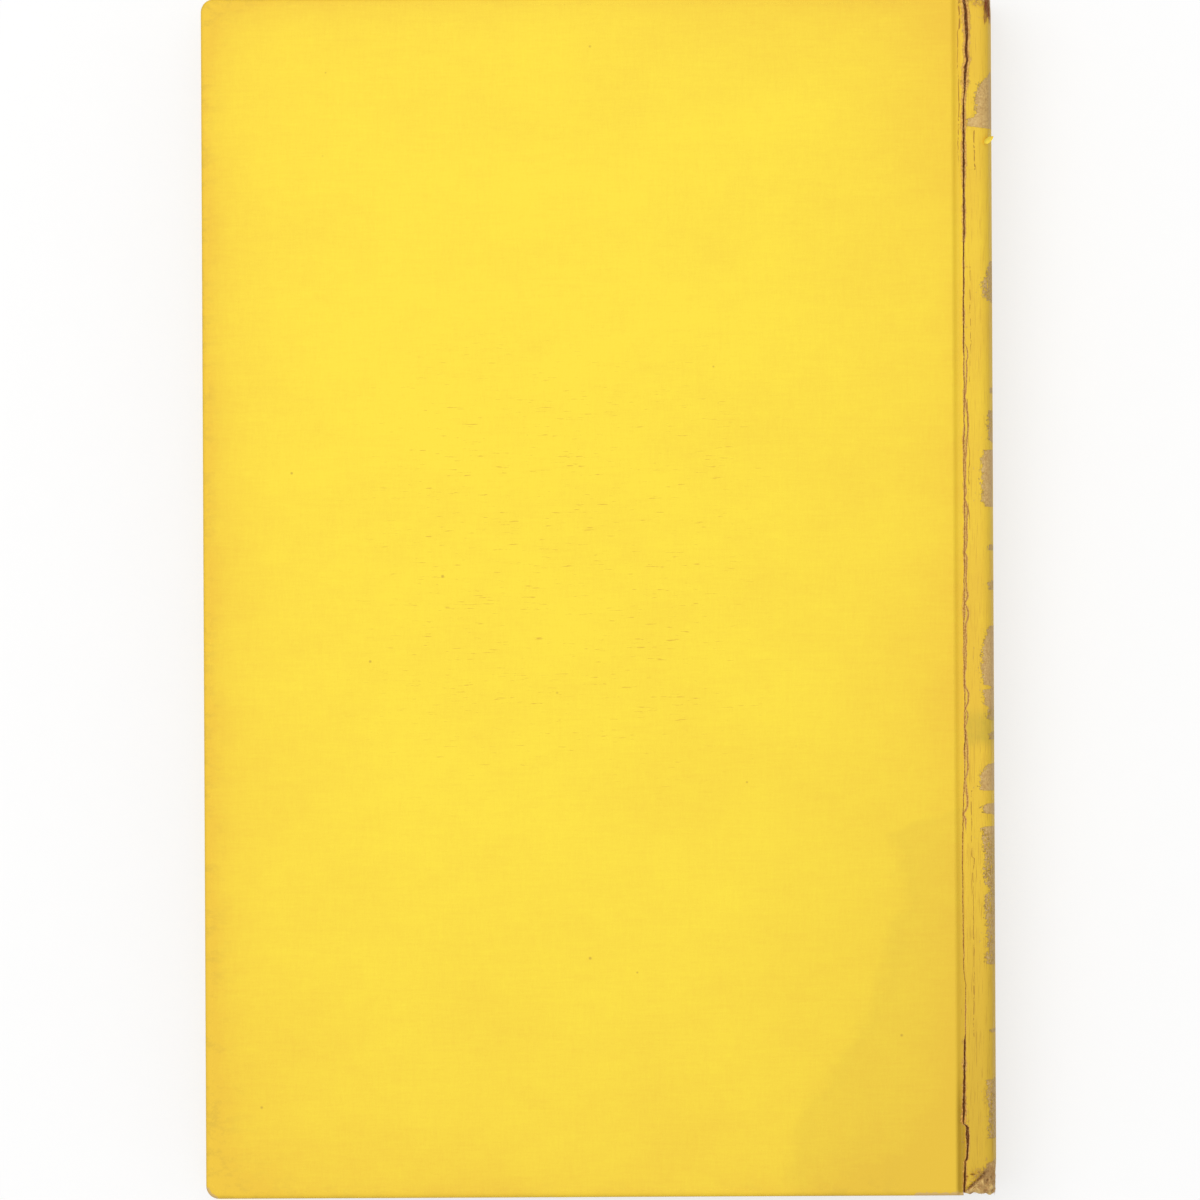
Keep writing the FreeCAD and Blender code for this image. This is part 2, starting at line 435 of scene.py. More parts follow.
@dataclass(frozen=True)
class Split:
    """Split in the cloth along the back joint, seen from above, from the tail to the head.

    Each station has its height, the middle of the split, the width of the opening and that of the rim.
    """

    hinge_x: float = 67.953
    clearance: float = 0.21
    stations: Stations = (
        (-111.0, 66.95, 0.24, 0.20), (-107.7, 67.20, 0.26, 0.20), (-104.7, 67.25, 0.14, 0.30),
        (-104.2, 67.60, 0.30, 0.25), (-99.4, 67.65, 0.46, 0.22), (-98.2, 67.66, 0.40, 0.30),
        (-97.8, 66.95, 0.10, 0.60), (-95.5, 67.05, 0.34, 0.34), (-93.0, 67.02, 0.40, 0.30),
        (-88.0, 67.15, 0.32, 0.26), (-82.6, 67.23, 0.20, 0.16), (-81.0, 67.37, 0.004, 0.12),
        (-72.0, 67.41, 0.004, 0.09), (-70.0, 67.19, 0.004, 0.10), (-56.0, 66.97, 0.004, 0.09),
        (-46.7, 67.00, 0.004, 0.12), (-37.5, 67.22, 0.004, 0.14), (-31.0, 67.47, 0.004, 0.19),
        (-26.4, 67.55, 0.06, 0.19), (-23.0, 67.51, 0.004, 0.18), (-12.0, 67.43, 0.004, 0.20),
        (-0.4, 67.48, 0.004, 0.24), (6.0, 67.59, 0.004, 0.20), (14.4, 67.69, 0.004, 0.22),
        (23.7, 67.57, 0.004, 0.22), (36.6, 67.69, 0.02, 0.24), (43.0, 67.65, 0.004, 0.20),
        (47.0, 67.61, 0.07, 0.16), (62.6, 67.73, 0.12, 0.16), (70.0, 67.77, 0.20, 0.22),
        (84.0, 67.81, 0.25, 0.34), (90.2, 67.87, 0.22, 0.50), (92.3, 67.84, 0.06, 0.62),
        (93.6, 68.10, 0.08, 0.60), (95.7, 68.08, 0.24, 0.42), (97.6, 68.26, 0.30, 0.40),
        (99.3, 68.50, 0.34, 0.40), (101.0, 68.36, 0.36, 0.38), (103.5, 68.50, 0.40, 0.40),
        (106.4, 68.32, 0.40, 0.42), (108.1, 68.28, 0.42, 0.44), (110.0, 67.94, 0.44, 0.50),
        (111.0, 67.88, 0.46, 0.50))

    def centre(self, y: np.ndarray) -> np.ndarray:
        """Middle of the split: straight runs between the stations, with seeded wander on them."""
        return between(self.stations, y, 1) + 0.05 * wander(y, 2.6, 1) + 0.05 * wander(y, 0.9, 2)

    def gap(self, y: np.ndarray) -> np.ndarray:
        """Width of the opening, narrower and wider by a third."""
        return between(self.stations, y, 2) * (1 + 0.3 * wander(y, 1.1, 3))

    def rim(self, y: np.ndarray) -> np.ndarray:
        """Width of the bare cloth beside the split, narrower and wider by half."""
        return between(self.stations, y, 3) * (1 + 0.5 * wander(y, 1.7, 14))

    def spine_edge(self, y: np.ndarray) -> np.ndarray:
        """Torn edge on the spine's side."""
        return self.centre(y) + self.gap(y) / 2

    def cover_edge(self, y: np.ndarray) -> np.ndarray:
        """Torn edge on the cover's side, kept clear of the other as the cover turns.

        Args:
            y: heights on the book.

        Returns:
            x of the edge.
        """
        edge = self.centre(y) - self.gap(y) / 2
        beyond = self.spine_edge(y) - self.hinge_x
        safe = self.hinge_x + np.sqrt(np.maximum(beyond ** 2 * np.sign(beyond) - self.clearance, 0))
        return np.minimum(edge, safe)

    def loop(self, y: np.ndarray) -> np.ndarray:
        """Second crack of the coating, which leaves the split and comes back to it in loops."""
        return self.centre(y) + 0.85 * np.abs(wander(y, 3.2, 6)) ** 0.8 + 0.10 * wander(y, 1.2, 7)

    def loop_width(self, y: np.ndarray) -> np.ndarray:
        """Half width of that crack, less than nothing where there is none."""
        return 0.17 + 0.08 * wander(y, 2.3, 15) - 0.5 * (1 - ramp(y, -50, -40) * ramp(-y, -52, -44))


class Side(Enum):
    """Cover that a piece belongs to."""

    BACK = 1
    FRONT = -1

    @property
    def body(self) -> str:
        """Body that this cover's pieces ride on."""
        return "back_cover" if self is Side.BACK else "front_cover"


@dataclass(frozen=True)
class Picture:
    """Where a pixel of the picture taken from above falls on the book."""

    pixel: float = 0.1853
    tilt: float = 0.00454
    middle: tuple[float, float] = (598.5, 599.45)

    def place(self, across: np.ndarray, down: np.ndarray) -> tuple[np.ndarray, np.ndarray]:
        """Book's x and y of a pixel, to a tenth of a millimetre.

        The distance from the middle is turned by the small tilt and multiplied by the size of a pixel.

        Args:
            across: pixels from the picture's left.
            down: pixels from its top.

        Returns:
            x and y in millimetres.
        """
        i, j = across - self.middle[0], self.middle[1] - down
        return ((i + j * self.tilt) * self.pixel).round(1), ((j - i * self.tilt) * self.pixel).round(1)


SECTION = Section()
SPLIT = Split()
PICTURE = Picture()


# Meshes


class Shell:
    """Grids of points that are joined into one closed mesh, with the same fields on every grid."""

    def __init__(self, name: str) -> None:
        """Starts an empty shell."""
        self.name = name
        self.points: list[np.ndarray] = []
        self.quads: list[np.ndarray] = []
        self.fields: dict[str, list[np.ndarray]] = {}
        self.count = 0

    def grid(self, points: np.ndarray, **fields: np.ndarray) -> None:
        """Adds a grid of points, rows by columns by 3, with a value of each field at each point.

        Args:
            points: the grid.
            fields: values by name, one for each point.
        """
        rows, columns = points.shape[:2]
        index = np.arange(rows * columns).reshape(rows, columns) + self.count
        corners = (index[:-1, :-1], index[1:, :-1], index[1:, 1:], index[:-1, 1:])
        self.quads.append(np.stack(corners, -1).reshape(-1, 4))
        self.points.append(points.reshape(-1, 3))
        for name, value in fields.items():
            self.fields.setdefault(name, []).append(np.broadcast_to(value, (rows, columns)).ravel())
        self.count += rows * columns

    def wall(self, first: np.ndarray, second: np.ndarray, **fields: np.ndarray) -> None:
        """Joins two lines of points by one row of faces. A field gives one value for each point of a line."""
        doubled = {name: np.stack([value, value]) for name, value in fields.items()}
        self.grid(np.stack([first, second]), **doubled)

    def sheet(self, outer: np.ndarray, inner: np.ndarray, **fields: np.ndarray) -> None:
        """Adds two grids as the faces of one sheet, with a wall along each of their four sides.

        Args:
            outer: one face.
            inner: the other face.
            fields: values by name.
        """
        self.grid(outer, **fields)
        self.grid(inner, **fields)
        for row in (0, -1):
            self.wall(outer[row], inner[row], **{name: value[row] for name, value in fields.items()})
            self.wall(outer[:, row], inner[:, row], **{name: value[:, row] for name, value in fields.items()})

    def bar(self, rings: np.ndarray) -> None:
        """Adds a flat closed section carried along the book, with its two ends.

        The first half of each ring runs out along one face, and the second half comes back along the other.

        Args:
            rings: the section at each height, closed on itself.
        """
        self.grid(rings)
        half = (rings.shape[1] - 1) // 2
        for row in (0, -1):
            self.grid(np.stack([rings[row, :half], rings[row, half:2 * half][::-1]]))

    def build(self, fold: Callable[[np.ndarray], np.ndarray], sharp: float = 35.0) -> bpy.types.Object:
        """Makes the object.

        Points that fall together are merged, faces with no area go, and the rest are turned outwards.

        Args:
            fold: moves all the points at once, as for the front cover's mirror image.
            sharp: edges that bend by more than this many degrees stay crisp.

        Returns:
            The object, at the origin.
        """
        points = fold(np.concatenate(self.points)) * MM
        quads = np.concatenate(self.quads)
        mesh = bpy.data.meshes.new(self.name)
        mesh.vertices.add(len(points))
        mesh.vertices.foreach_set("co", points.astype(np.float32).ravel())
        mesh.loops.add(quads.size)
        mesh.loops.foreach_set("vertex_index", quads.ravel().astype(np.int32))
        mesh.polygons.add(len(quads))
        mesh.polygons.foreach_set("loop_start", np.arange(0, quads.size, 4, dtype=np.int32))
        for name, values in self.fields.items():
            layer = mesh.attributes.new(name, "FLOAT", "POINT")
            layer.data.foreach_set("value", np.concatenate(values).astype(np.float32))
        mesh.update(calc_edges=True)
        merge, thin = 2e-6, 1e-7
        work = bmesh.new()
        work.from_mesh(mesh)
        bmesh.ops.remove_doubles(work, verts=work.verts, dist=merge)
        bmesh.ops.dissolve_degenerate(work, edges=work.edges, dist=thin)
        bmesh.ops.recalc_face_normals(work, faces=work.faces)
        work.to_mesh(mesh)
        work.free()
        mesh.polygons.foreach_set("use_smooth", np.ones(len(mesh.polygons), bool))
        mesh.set_sharp_from_angle(angle=math.radians(sharp))
        made = bpy.data.objects.new(self.name, mesh)
        bpy.context.scene.collection.objects.link(made)
        return made


def lifted(points: np.ndarray) -> np.ndarray:
    """Points with levels from mid thickness, as points above the floor."""
    return points + np.array([0, 0, SECTION.cover_level])


def turned_over(points: np.ndarray) -> np.ndarray:
    """The same shape on the front cover's side, above the floor."""
    return lifted(points * np.array([1, 1, -1]))


def dress(piece: bpy.types.Object, material: bpy.types.Material) -> bpy.types.Object:
    """Gives a piece one material.

    Args:
        piece: the object.
        material: its finish.

    Returns:
        The same object.
    """
    piece.data.materials.clear()
    piece.data.materials.append(material)
    return piece


def report(piece: bpy.types.Object) -> None:
    """Logs a finished piece."""
    log.info("%s: %d faces", piece.name, len(piece.data.polygons))


# Finishes


@dataclass(frozen=True)
class ClothFinish:
    """Yellow book cloth: a thin coating over a fine linen weave."""

    name: str
    split: bool = False
    flaked: bool = False
    stained: bool = False
    bright: Colour = srgb(255, 227, 62)
    dull: Colour = srgb(244, 201, 60)
    grime: Colour = srgb(200, 166, 62)
    spot: Colour = srgb(176, 132, 56)
    olive: Colour = srgb(208, 178, 60)
    green: Colour = srgb(176, 160, 60)
    ochre: Colour = srgb(196, 146, 52)
    thread: Colour = srgb(210, 156, 54)
    # painted shade of the joint's groove
    groove_shade: Colour = srgb(170, 138, 38)
    tan: Colour = srgb(220, 184, 118)
    dark_tan: Colour = srgb(194, 152, 94)
    pale_tan: Colour = srgb(236, 204, 140)
    # painted highlight on the ridges of the crumpled tail
    crumple_highlight: Colour = srgb(240, 206, 132)
    fleck: Colour = srgb(160, 116, 66)
    rim_dark: Colour = srgb(200, 138, 58)
    rim_pale: Colour = srgb(234, 186, 92)
    # brown: partly painted shade, in the nearly closed split and in the crumple's hollows
    brown: Colour = srgb(138, 82, 38)
    hairline: Colour = srgb(158, 98, 46)
    rubbed_radius: float = 2.4

    def weave(self, net: Net) -> Value:
        """Height of the weave: two sets of long thin grains, one along and one across the book.

        Args:
            net: the material's net.

        Returns:
            The height.
        """
        along = net.noise((0.24, 1.5, 0.24), 2, 0.6)
        across = net.noise((1.5, 0.24, 0.24), 2, 0.6, 5.0)
        return along * 0.5 + across * 0.5

    def border(self, net: Net) -> Value:
        """Share of the dull tone: it falls off from each edge of the cover towards the middle.

        Args:
            net: the material's net.

        Returns:
            The share.
        """
        left = net.x - SECTION.fore_x
        right = (SECTION.ridge_x - net.x).most(0.0)
        head = SECTION.half_height - net.y
        tail = net.y + SECTION.half_height
        share = left.fade(2.6) * 0.70 + left.fade(15.0) * 0.52
        share = share + head.fade(2.2) * 0.40 + head.fade(12.0) * 0.36
        share = share + tail.fade(3.0) * 0.30 + tail.fade(50.0) * 0.46
        return share + right.fade(26.0) * 0.50 + right.fade(8.0) * 0.30

    def material(self) -> bpy.types.Material:
        """Builds the finish.

        Returns:
            The material.
        """
        net = Net(self.name)
        weave = self.weave(net)
        patch = net.noise((26, 20, 20), 3, 0.55, 3.0)
        grain = (1.6, 9.0, 1.6) if self.flaked else (7.0, 0.7, 0.7)
        streak = net.noise(grain, 3, 0.6, 9.0)
        thread = net.noise((0.7, 6.0, 0.7), 3, 0.6, 14.0)
        share = self.border(net) * (0.75 + 0.5 * patch) + (patch - 0.5) * 0.5
        share = share + (streak - 0.5) * 0.34 + (thread - 0.5) * 0.24 + (weave - 0.5) * 0.55
        share = share + (net.noise((6, 4, 5), 3, 0.65, 27.0) - 0.5) * 0.34
        if self.stained:
            tide = net.field("tide") + (net.noise((7, 7, 7), 4, 0.65, 21.0) - 0.5) * 11.0
            inside = tide.step(-2.2, 2.6)
            rim = inside * tide.step(4.0, 0.8)
            share = share + inside * 0.06
        colour = net.mix(share.most(0.0).least(1.35), self.bright, self.dull)
        if self.stained:
            olive = (inside * 0.10 + rim * 0.05) * (0.5 + patch)
            olive = olive + (net.x - 20).step(0, 40) * net.y.step(-10, -60) * 0.08
            colour = net.mix(olive, colour, self.olive)
        near_edge = self.border(net).step(0.45, 1.3)
        smudge = net.noise((3, 2, 2), 4, 0.7, 31.0).step(0.46, 0.66) * net.x.step(60, 46)
        colour = net.mix(near_edge * smudge * 0.3, colour, self.grime)
        colour = net.mix(net.dots(7.0, 0.26, 0.5, 3.3) * 0.5, colour, self.spot)
        if self.flaked:
            lines = net.noise((0.13, 5.0, 0.3), 3, 0.6, 17.0).step(0.54, 0.67)
            lower = 0.35 + net.y.step(20, -60) * 0.3
            colour = net.mix(lines * lower, colour, self.ochre)
            green = net.noise((2.0, 3.0, 2.0), 3, 0.6, 18.0) * (abs(net.y + 24.5)).step(4.5, 1.5)
            colour = net.mix(green * 0.7, colour, self.green)
        colour = self.threads(net, colour)
        colour = self.rubbed(net, colour)
        height = weave * 0.8 + streak * 0.2
        rough: Union[Value, Number] = 0.62 + (weave - 0.5) * 0.2
        if self.split or self.flaked:
            colour, height = self.wear(net, colour, height)
        return net.finish(colour, rough, net.bump(height, 0.05), Specular_IOR_Level=0.25)

    def threads(self, net: Net, colour: Value) -> Value:
        """Faint brown threads that run across the middle of the cover.

        Args:
            net: the material's net.
            colour: colour of the cloth so far.

        Returns:
            The colour with the threads on it.
        """
        middle = (net.x + 8).step(-45, -20) * (net.x - 2).step(40, 10) * (abs(net.y - 6)).step(52, 22)
        dash = net.noise((3.4, 0.34, 0.5), 3, 0.65, 40.0).step(0.63, 0.72)
        return net.mix(dash * middle * 0.6, colour, self.thread)

    def rubbed(self, net: Net, colour: Value) -> Value:
        """Painted shade in the joint's groove, and cloth rubbed bare at the tail's fore corner and by the
        joint.

        Args:
            net: the material's net.
            colour: colour of the cloth so far.

        Returns:
            The colour with the painted shade and the bare cloth on it.
        """
        # Painted shade: the groove and the cloth beyond the board's edge get a darker colour, more towards
        # the tail.
        groove = (net.x - 65.2).step(0.0, 0.9) * (net.x - 67.6).step(0.0, -0.9)
        tail = (net.y + 88).step(0.0, -9.0)
        beyond = (net.x - 65.6).step(0.0, 1.2) * net.y.step(-20, -110)
        groove_shade_share = (groove * (0.18 + tail * 0.30) + beyond * 0.30).least(1.0)
        colour = net.mix(groove_shade_share, colour, self.groove_shade)
        dx = (SECTION.fore_x + self.rubbed_radius - net.x).most(0.0)
        dy = (self.rubbed_radius - SECTION.half_height - net.y).most(0.0)
        corner = (dx * dx + dy * dy) ** 0.5
        joint = (abs(net.x - 62.4) - 4.2).most(0.0) * 1.2 + (net.y + 110.9).most(0.0) * 1.4
        ragged = (net.noise((0.9, 0.6, 0.8), 4, 0.7, 80.0) - 0.5) * 2.4
        worn_corner = (corner + ragged * 0.3).step(1.8, 2.0) * (dx * dy).step(0.3, 0.9)
        bare = worn_corner.most((joint + ragged).step(0.8, 0.5))
        return net.mix(bare * 0.9, colour, self.tan)

    def wear(self, net: Net, colour: Value, height: Value) -> tuple[Value, Value]:
        """Split edges, cracks of the coating and places where the coating has flaked off, with painted shade
        and highlight.

        Args:
            net: the material's net.
            colour: colour of the sound cloth.
            height: height of its weave.

        Returns:
            The colour and the height with the wear on them.
        """
        fine = net.noise((0.26, 0.42, 0.35), 3, 0.75, 50.0)
        soil = net.noise((0.5, 0.5, 0.5), 3, 0.7, 60.0).step(0.3, 0.7)
        cloth = net.mix(soil, self.tan, self.dark_tan)
        cloth = net.mix(self.weave(net).step(0.48, 0.6) * 0.45, cloth, self.pale_tan)
        torn = net.field("torn") + (fine - 0.5) * 0.24
        reach = net.field("rim") * (0.35 + 3.8 * (fine - 0.34).most(0.0))
        rim = (torn - reach).step(0.04, -0.04)
        away = abs(net.field("loop") + (fine - 0.5) * 0.14)
        halo = (away - net.field("loop_width") * (0.3 + 1.5 * fine)).step(0.05, -0.04)
        line = (away - net.field("loop_width") * 0.24).step(0.03, -0.03)
        broken = net.noise((0.6, 1.5, 0.6), 3, 0.7, 52.0).step(0.40, 0.50)
        thin = (abs(net.field("thin")) - net.field("thin_width")).step(0.05, -0.03) * broken
        # Along the torn edge deep is brown: partly the brown under the cloth, partly painted shade of the
        # split, which is nearly closed.
        worn, deep = rim.most(halo), (torn - 0.045 - 0.12 * net.field("rim")).step(0.03, -0.03)
        if self.flaked:
            rough = net.noise((0.5, 0.6, 0.5), 4, 0.8, 70.0) - 0.5
            edge = net.field("flake") + rough * 4.2
            flake = edge.step(-0.05, 0.05)
            chips = net.noise((0.5, 1.0, 0.5), 3, 0.65, 75.0).step(0.65, 0.69)
            worn = worn.most(flake).most(chips * net.field("flake").step(-2.6, -0.4))
            bank = (abs(edge - 0.02) - 0.06).step(0.05, -0.03)
            bank = bank * net.noise((1.4, 1.8, 1.4), 2, 0.6, 76.0).step(0.4, 0.6)
            rise = net.field("crumple")
            # Painted shade: the hollows of the crumpled tail join deep and are painted brown; bank is the
            # dark outline of the bare patches.
            deep = deep.most(bank * 0.7).most(rise.step(-0.03, -0.22) * 0.85)
            specks = net.noise((0.35, 0.4, 0.35), 3, 0.7, 78.0).step(0.52, 0.66)
            cloth = net.mix(specks * 0.35, cloth, self.fleck)
            # Painted highlight: the ridges of the crumpled tail get a paler colour.
            cloth = net.mix(rise.step(0.05, 0.30) * 0.7, cloth, self.crumple_highlight)
            colour = net.mix(worn * 0.94, colour, cloth)
        bare = net.mix(fine.step(0.4, 0.6), self.rim_dark, self.rim_pale)
        colour = net.mix(rim.most(halo) * 0.9, colour, bare)
        # Brown over deep and the crack's line: in the split it is partly painted shade, and in the crumple's
        # hollows it is painted shade.
        colour = net.mix((deep.most(line) * 0.8).least(1.0), colour, self.brown)
        colour = net.mix(thin * 0.72, colour, self.hairline)
        return colour, height - worn * 0.9 - deep * 0.6 - thin * 0.5 - line * 0.5


@dataclass(frozen=True)
class PageFinish:
    """Trimmed edges of the leaves, toned by age."""

    name: str = "page edges"
    pale: Colour = srgb(222, 203, 165)
    dark: Colour = srgb(176, 146, 100)
    spot: Colour = srgb(150, 110, 66)

    def material(self) -> bpy.types.Material:
        """Builds the finish: fine lines at each leaf and broad tones across them.

        Returns:
            The material.
        """
        net = Net(self.name)
        leaf = net.field("leaf")
        spot = net.node("ShaderNodeCombineXYZ", {}, {0: leaf, 1: net.x * 0.02, 2: net.y * 0.02})
        lines = net.noise((0.11, 0.6, 0.6), 2, 0.7, 0.0, spot)
        groups = net.noise((1.0, 1.2, 1.2), 1, 0.5, 4.0, spot)
        toning = net.noise((14, 18, 6), 4, 0.6, 8.0)
        share = lines.step(0.34, 0.7) * 0.55 + groups.step(0.4, 0.7) * 0.25 + (toning - 0.4) * 0.8
        colour = net.toned(share, self.pale, self.dark)
        colour = net.mix(net.dots(5.0, 0.5, 0.2, 7.0) * 0.5, colour, self.spot)
        return net.finish(colour, 0.85, net.bump(lines * 0.8 + groups * 0.4, 0.12), Specular_IOR_Level=0.15)


@dataclass(frozen=True)
class PaperFinish:
    """Plain paper: fine fibres, light foxing and darker edges."""

    name: str
    pale: Colour = srgb(231, 216, 184)
    dark: Colour = srgb(196, 168, 120)
    foxing: Colour = srgb(176, 132, 80)
    toned: float = 0.7

    def material(self) -> bpy.types.Material:
        """Builds the finish.

        Returns:
            The material.
        """
        net = Net(self.name)
        fibre = net.noise((0.5, 1.4, 0.5), 4, 0.65)
        cloud = net.noise((30, 24, 24), 4, 0.6, 6.0)
        edge = (net.x + 70.3).most(0.0).fade(9.0) + (108 - abs(net.y)).most(0.0).fade(7.0)
        share = (fibre - 0.5) * 0.35 + (cloud - 0.45) * 0.7 + edge * self.toned * (0.4 + cloud)
        colour = net.toned(share, self.pale, self.dark)
        colour = net.mix(net.dots(9.0, 1.3, 0.35, 2.0) * 0.4, colour, self.foxing)
        return net.finish(colour, 0.8, net.bump(fibre, 0.03), Specular_IOR_Level=0.2)


@dataclass(frozen=True)
class BoardFinish:
    """Greyboard or brown card: matted fibres, flecks and faint layers at the edge."""

    name: str
    light: Colour = srgb(172, 140, 94)
    deep: Colour = srgb(126, 96, 60)
    fleck: Colour = srgb(92, 68, 44)

    def material(self) -> bpy.types.Material:
        """Builds the finish.

        Returns:
            The material.
        """
        net = Net(self.name)
        fibre = net.noise((0.5, 0.9, 0.2), 4, 0.7)
        layer = net.noise((6, 6, 0.18), 2, 0.6, 5.0)
        share = (fibre - 0.2) * 0.9 + (layer - 0.5) * 0.5
        colour = net.toned(share, self.light, self.deep)
        colour = net.mix(net.dots(1.6, 0.2, 0.3, 9.0) * 0.6, colour, self.fleck)
        return net.finish(colour, 0.9, net.bump(fibre + layer * 0.6, 0.1), Specular_IOR_Level=0.1)


@dataclass(frozen=True)
class MullFinish:
    """Open-weave cloth stiffened with glue."""

    name: str = "mull"
    thread: Colour = srgb(214, 200, 168)
    glue: Colour = srgb(160, 128, 84)
    pitch: float = 1.1

    def material(self) -> bpy.types.Material:
        """Builds the finish: two crossing waves of threads with glue between them.

        Returns:
            The material.
        """
        net = Net(self.name)
        turn = 2 * math.pi / self.pitch
        bars = [(at * turn).sine() for at in (net.y, net.x + net.z)]
        grid = bars[0].most(bars[1]) + (net.noise((0.6, 0.6, 0.6), 3, 0.6) - 0.5) * 0.8
        colour = net.mix(grid.step(0.2, 0.7), self.glue, self.thread)
        return net.finish(colour, 0.8, net.bump(grid, 0.1), Specular_IOR_Level=0.2)


@dataclass(frozen=True)
class ThreadFinish:
    """Spun thread: fine diagonal fibres, with soiling."""

    name: str
    pale: Colour = srgb(226, 212, 172)
    dark: Colour = srgb(176, 148, 100)

    def material(self) -> bpy.types.Material:
        """Builds the finish.

        Returns:
            The material.
        """
        net = Net(self.name)
        fibre = net.noise((0.12, 0.3, 0.12), 3, 0.7)
        soil = net.noise((3, 2, 3), 3, 0.6, 4.0)
        share = (fibre - 0.3) * 0.9 + (soil - 0.4) * 0.9
        colour = net.toned(share, self.pale, self.dark)
        return net.finish(colour, 0.75, net.bump(fibre, 0.05), Specular_IOR_Level=0.2)


# Sub-assemblies


@dataclass
class CoverCloth:
    """Cloth over one board: its face, the rounded edges, the cloth turned in, and the joint.

    thin_line and tide_line hold heights, each with the x of a hairline crack and of the stain's edge.
    """

    side: Side
    row_pitch: float
    cloth: float = 0.4
    under_level: float = 8.4
    turn_in: float = 15.0
    corner: float = 2.4
    edge: float = 0.9
    face_columns: int = 11
    joint_columns: int = 11
    front_end_x: float = 68.003
    thin_line: Stations = (
        (-90, 66.5), (0, 66.7), (79, 66.85), (97.0, 66.95), (97.3, 66.72), (104.6, 66.72), (104.9, 67.1),
        (111, 67.1))
    tide_line: Stations = (
        (-111, 34.8), (-100, 36.1), (-93, 39.1), (-81, 47.7), (-73, 50.5), (-57, 55.6), (-44, 53.6),
        (-40, 65), (-34, 80))

    def end(self, y: np.ndarray) -> np.ndarray:
        """Edge of the cloth at the split.

        Args:
            y: heights on the book.

        Returns:
            x of the edge.
        """
        if self.side is Side.BACK:
            return SPLIT.cover_edge(y)
        return np.full_like(np.asarray(y, float), self.front_end_x)

    def columns(self, y: np.ndarray) -> np.ndarray:
        """Stations across the cloth at each height: even ones over the board, closer ones over the joint.

        Args:
            y: heights on the book.

        Returns:
            x of each station, heights by stations.
        """
        y = np.atleast_1d(np.asarray(y, float))
        face = np.linspace(SECTION.fore_x + self.corner, SECTION.board_x, self.face_columns)
        lip = SECTION.board_x + np.array([0.01, self.cloth, self.cloth + 0.01])
        share = 1 - (1 - np.linspace(0, 1, self.joint_columns)[1:]) ** 1.5
        joint = lip[-1] + (self.end(y)[:, None] - lip[-1]) * share
        return np.concatenate([np.tile(np.concatenate([face, lip]), (len(y), 1)), joint], 1)

    @property
    def rows(self) -> np.ndarray:
        """Heights of the face's rows."""
        reach = SECTION.half_height - self.corner
        return np.linspace(-reach, reach, int(2 * reach / self.row_pitch) + 1)

    def outline(self, inset: float) -> tuple[np.ndarray, np.ndarray]:
        """Plan at an inset: along the tail, round a corner, up the fore edge, and back along the head.

        A corner is a quarter circle. Its radius is the corner's less the inset, and no run passes its centre.

        Args:
            inset: distance in from the cover's edges.

        Returns:
            x and y of its points.
        """
        radius = max(self.corner - inset, 0.0)
        held = max(self.corner, inset)
        along = SECTION.half_height - inset
        centre = SECTION.fore_x + held
        tail = np.maximum(self.columns(-along)[0, ::-1], centre)
        head = np.maximum(self.columns(along)[0], centre)
        turn = np.linspace(-math.pi / 2, -math.pi, 9)
        limit = SECTION.half_height - held
        rows = np.clip(self.rows, -limit, limit)
        x = [tail, centre + radius * np.cos(turn), np.full(len(rows), SECTION.fore_x + inset),
             (centre + radius * np.cos(turn))[::-1], head]
        y = [np.full(len(tail), -along), -limit + radius * np.sin(turn), rows,
             (limit - radius * np.sin(turn))[::-1], np.full(len(head), along)]
        return np.concatenate(x), np.concatenate(y)

    def top(self, x: np.ndarray, y: np.ndarray) -> np.ndarray:
        """Level of the cloth's face, with the torn edge curled up a little along the open split.

        Args:
            x: places across the book.
            y: heights on the book.

        Returns:
            The level.
        """
        level = SECTION.cover_level - np.where(x > SECTION.board_x, SECTION.dip(x, y), 0.0)
        if self.side is Side.BACK:
            near = ramp(self.end(y) - x, 0.5, 0.0)
            level = level + near * 0.06 * (1 + wander(y, 3.1, 11)) * ramp(SPLIT.gap(y), 0.1, 0.4)
        return np.minimum(level, SECTION.cover_level)

    def rings(self, inner: bool) -> tuple[np.ndarray, np.ndarray]:
        """Cloth round the edges, from the turned-in edge under the board to the face.

        Each ring is the outline at one inset. Its level rises by a quarter circle from the underside, and by
        another up to the face. Beyond the board the two come together into a strip of two thicknesses.

        Args:
            inner: the face against the board, one thickness inside the outer one.

        Returns:
            The rings, and the last ring alone.
        """
        shift = self.cloth if inner else 0.0
        radius = self.edge - shift
        small = 0.0 if inner else self.cloth
        turns = np.linspace(0, math.pi / 2, 6)
        samples = [(self.turn_in, False, 0.0), (8.0, False, 0.0), (2.4, False, 0.0), (1.4, False, 0.0)]
        samples += [(None, False, t) for t in turns] + [(None, True, t) for t in turns[::-1]]
        samples += [(1.4, True, 0.0), (1.9, True, 0.0), (self.corner, True, 0.0)]
        rings = []
        for inset, upper, turn in samples:
            place = self.edge - radius * math.sin(turn) if inset is None else inset
            x, y = self.outline(place)
            strip = x > SECTION.board_x + (0.005 if inner else self.cloth + 0.005)
            rise = shift + np.where(strip, small, radius) * (1 - math.cos(turn))
            top = self.top(x, y)
            base = np.where(strip, top - 2 * self.cloth, self.under_level)
            rings.append(np.stack([x, y, top - rise if upper else base + rise], -1))
        return np.array(rings)

    def face(self, inner: bool) -> np.ndarray:
        """Flat of the cover and its joint, inside the rings.

        Args:
            inner: the face against the board, one thickness inside the outer one.

        Returns:
            Points, heights by stations.
        """
        y = np.tile(self.rows[:, None], (1, self.columns(0.0).shape[1]))
        x = self.columns(self.rows)
        return np.stack([x, y, self.top(x, y) - (self.cloth if inner else 0.0)], -1)

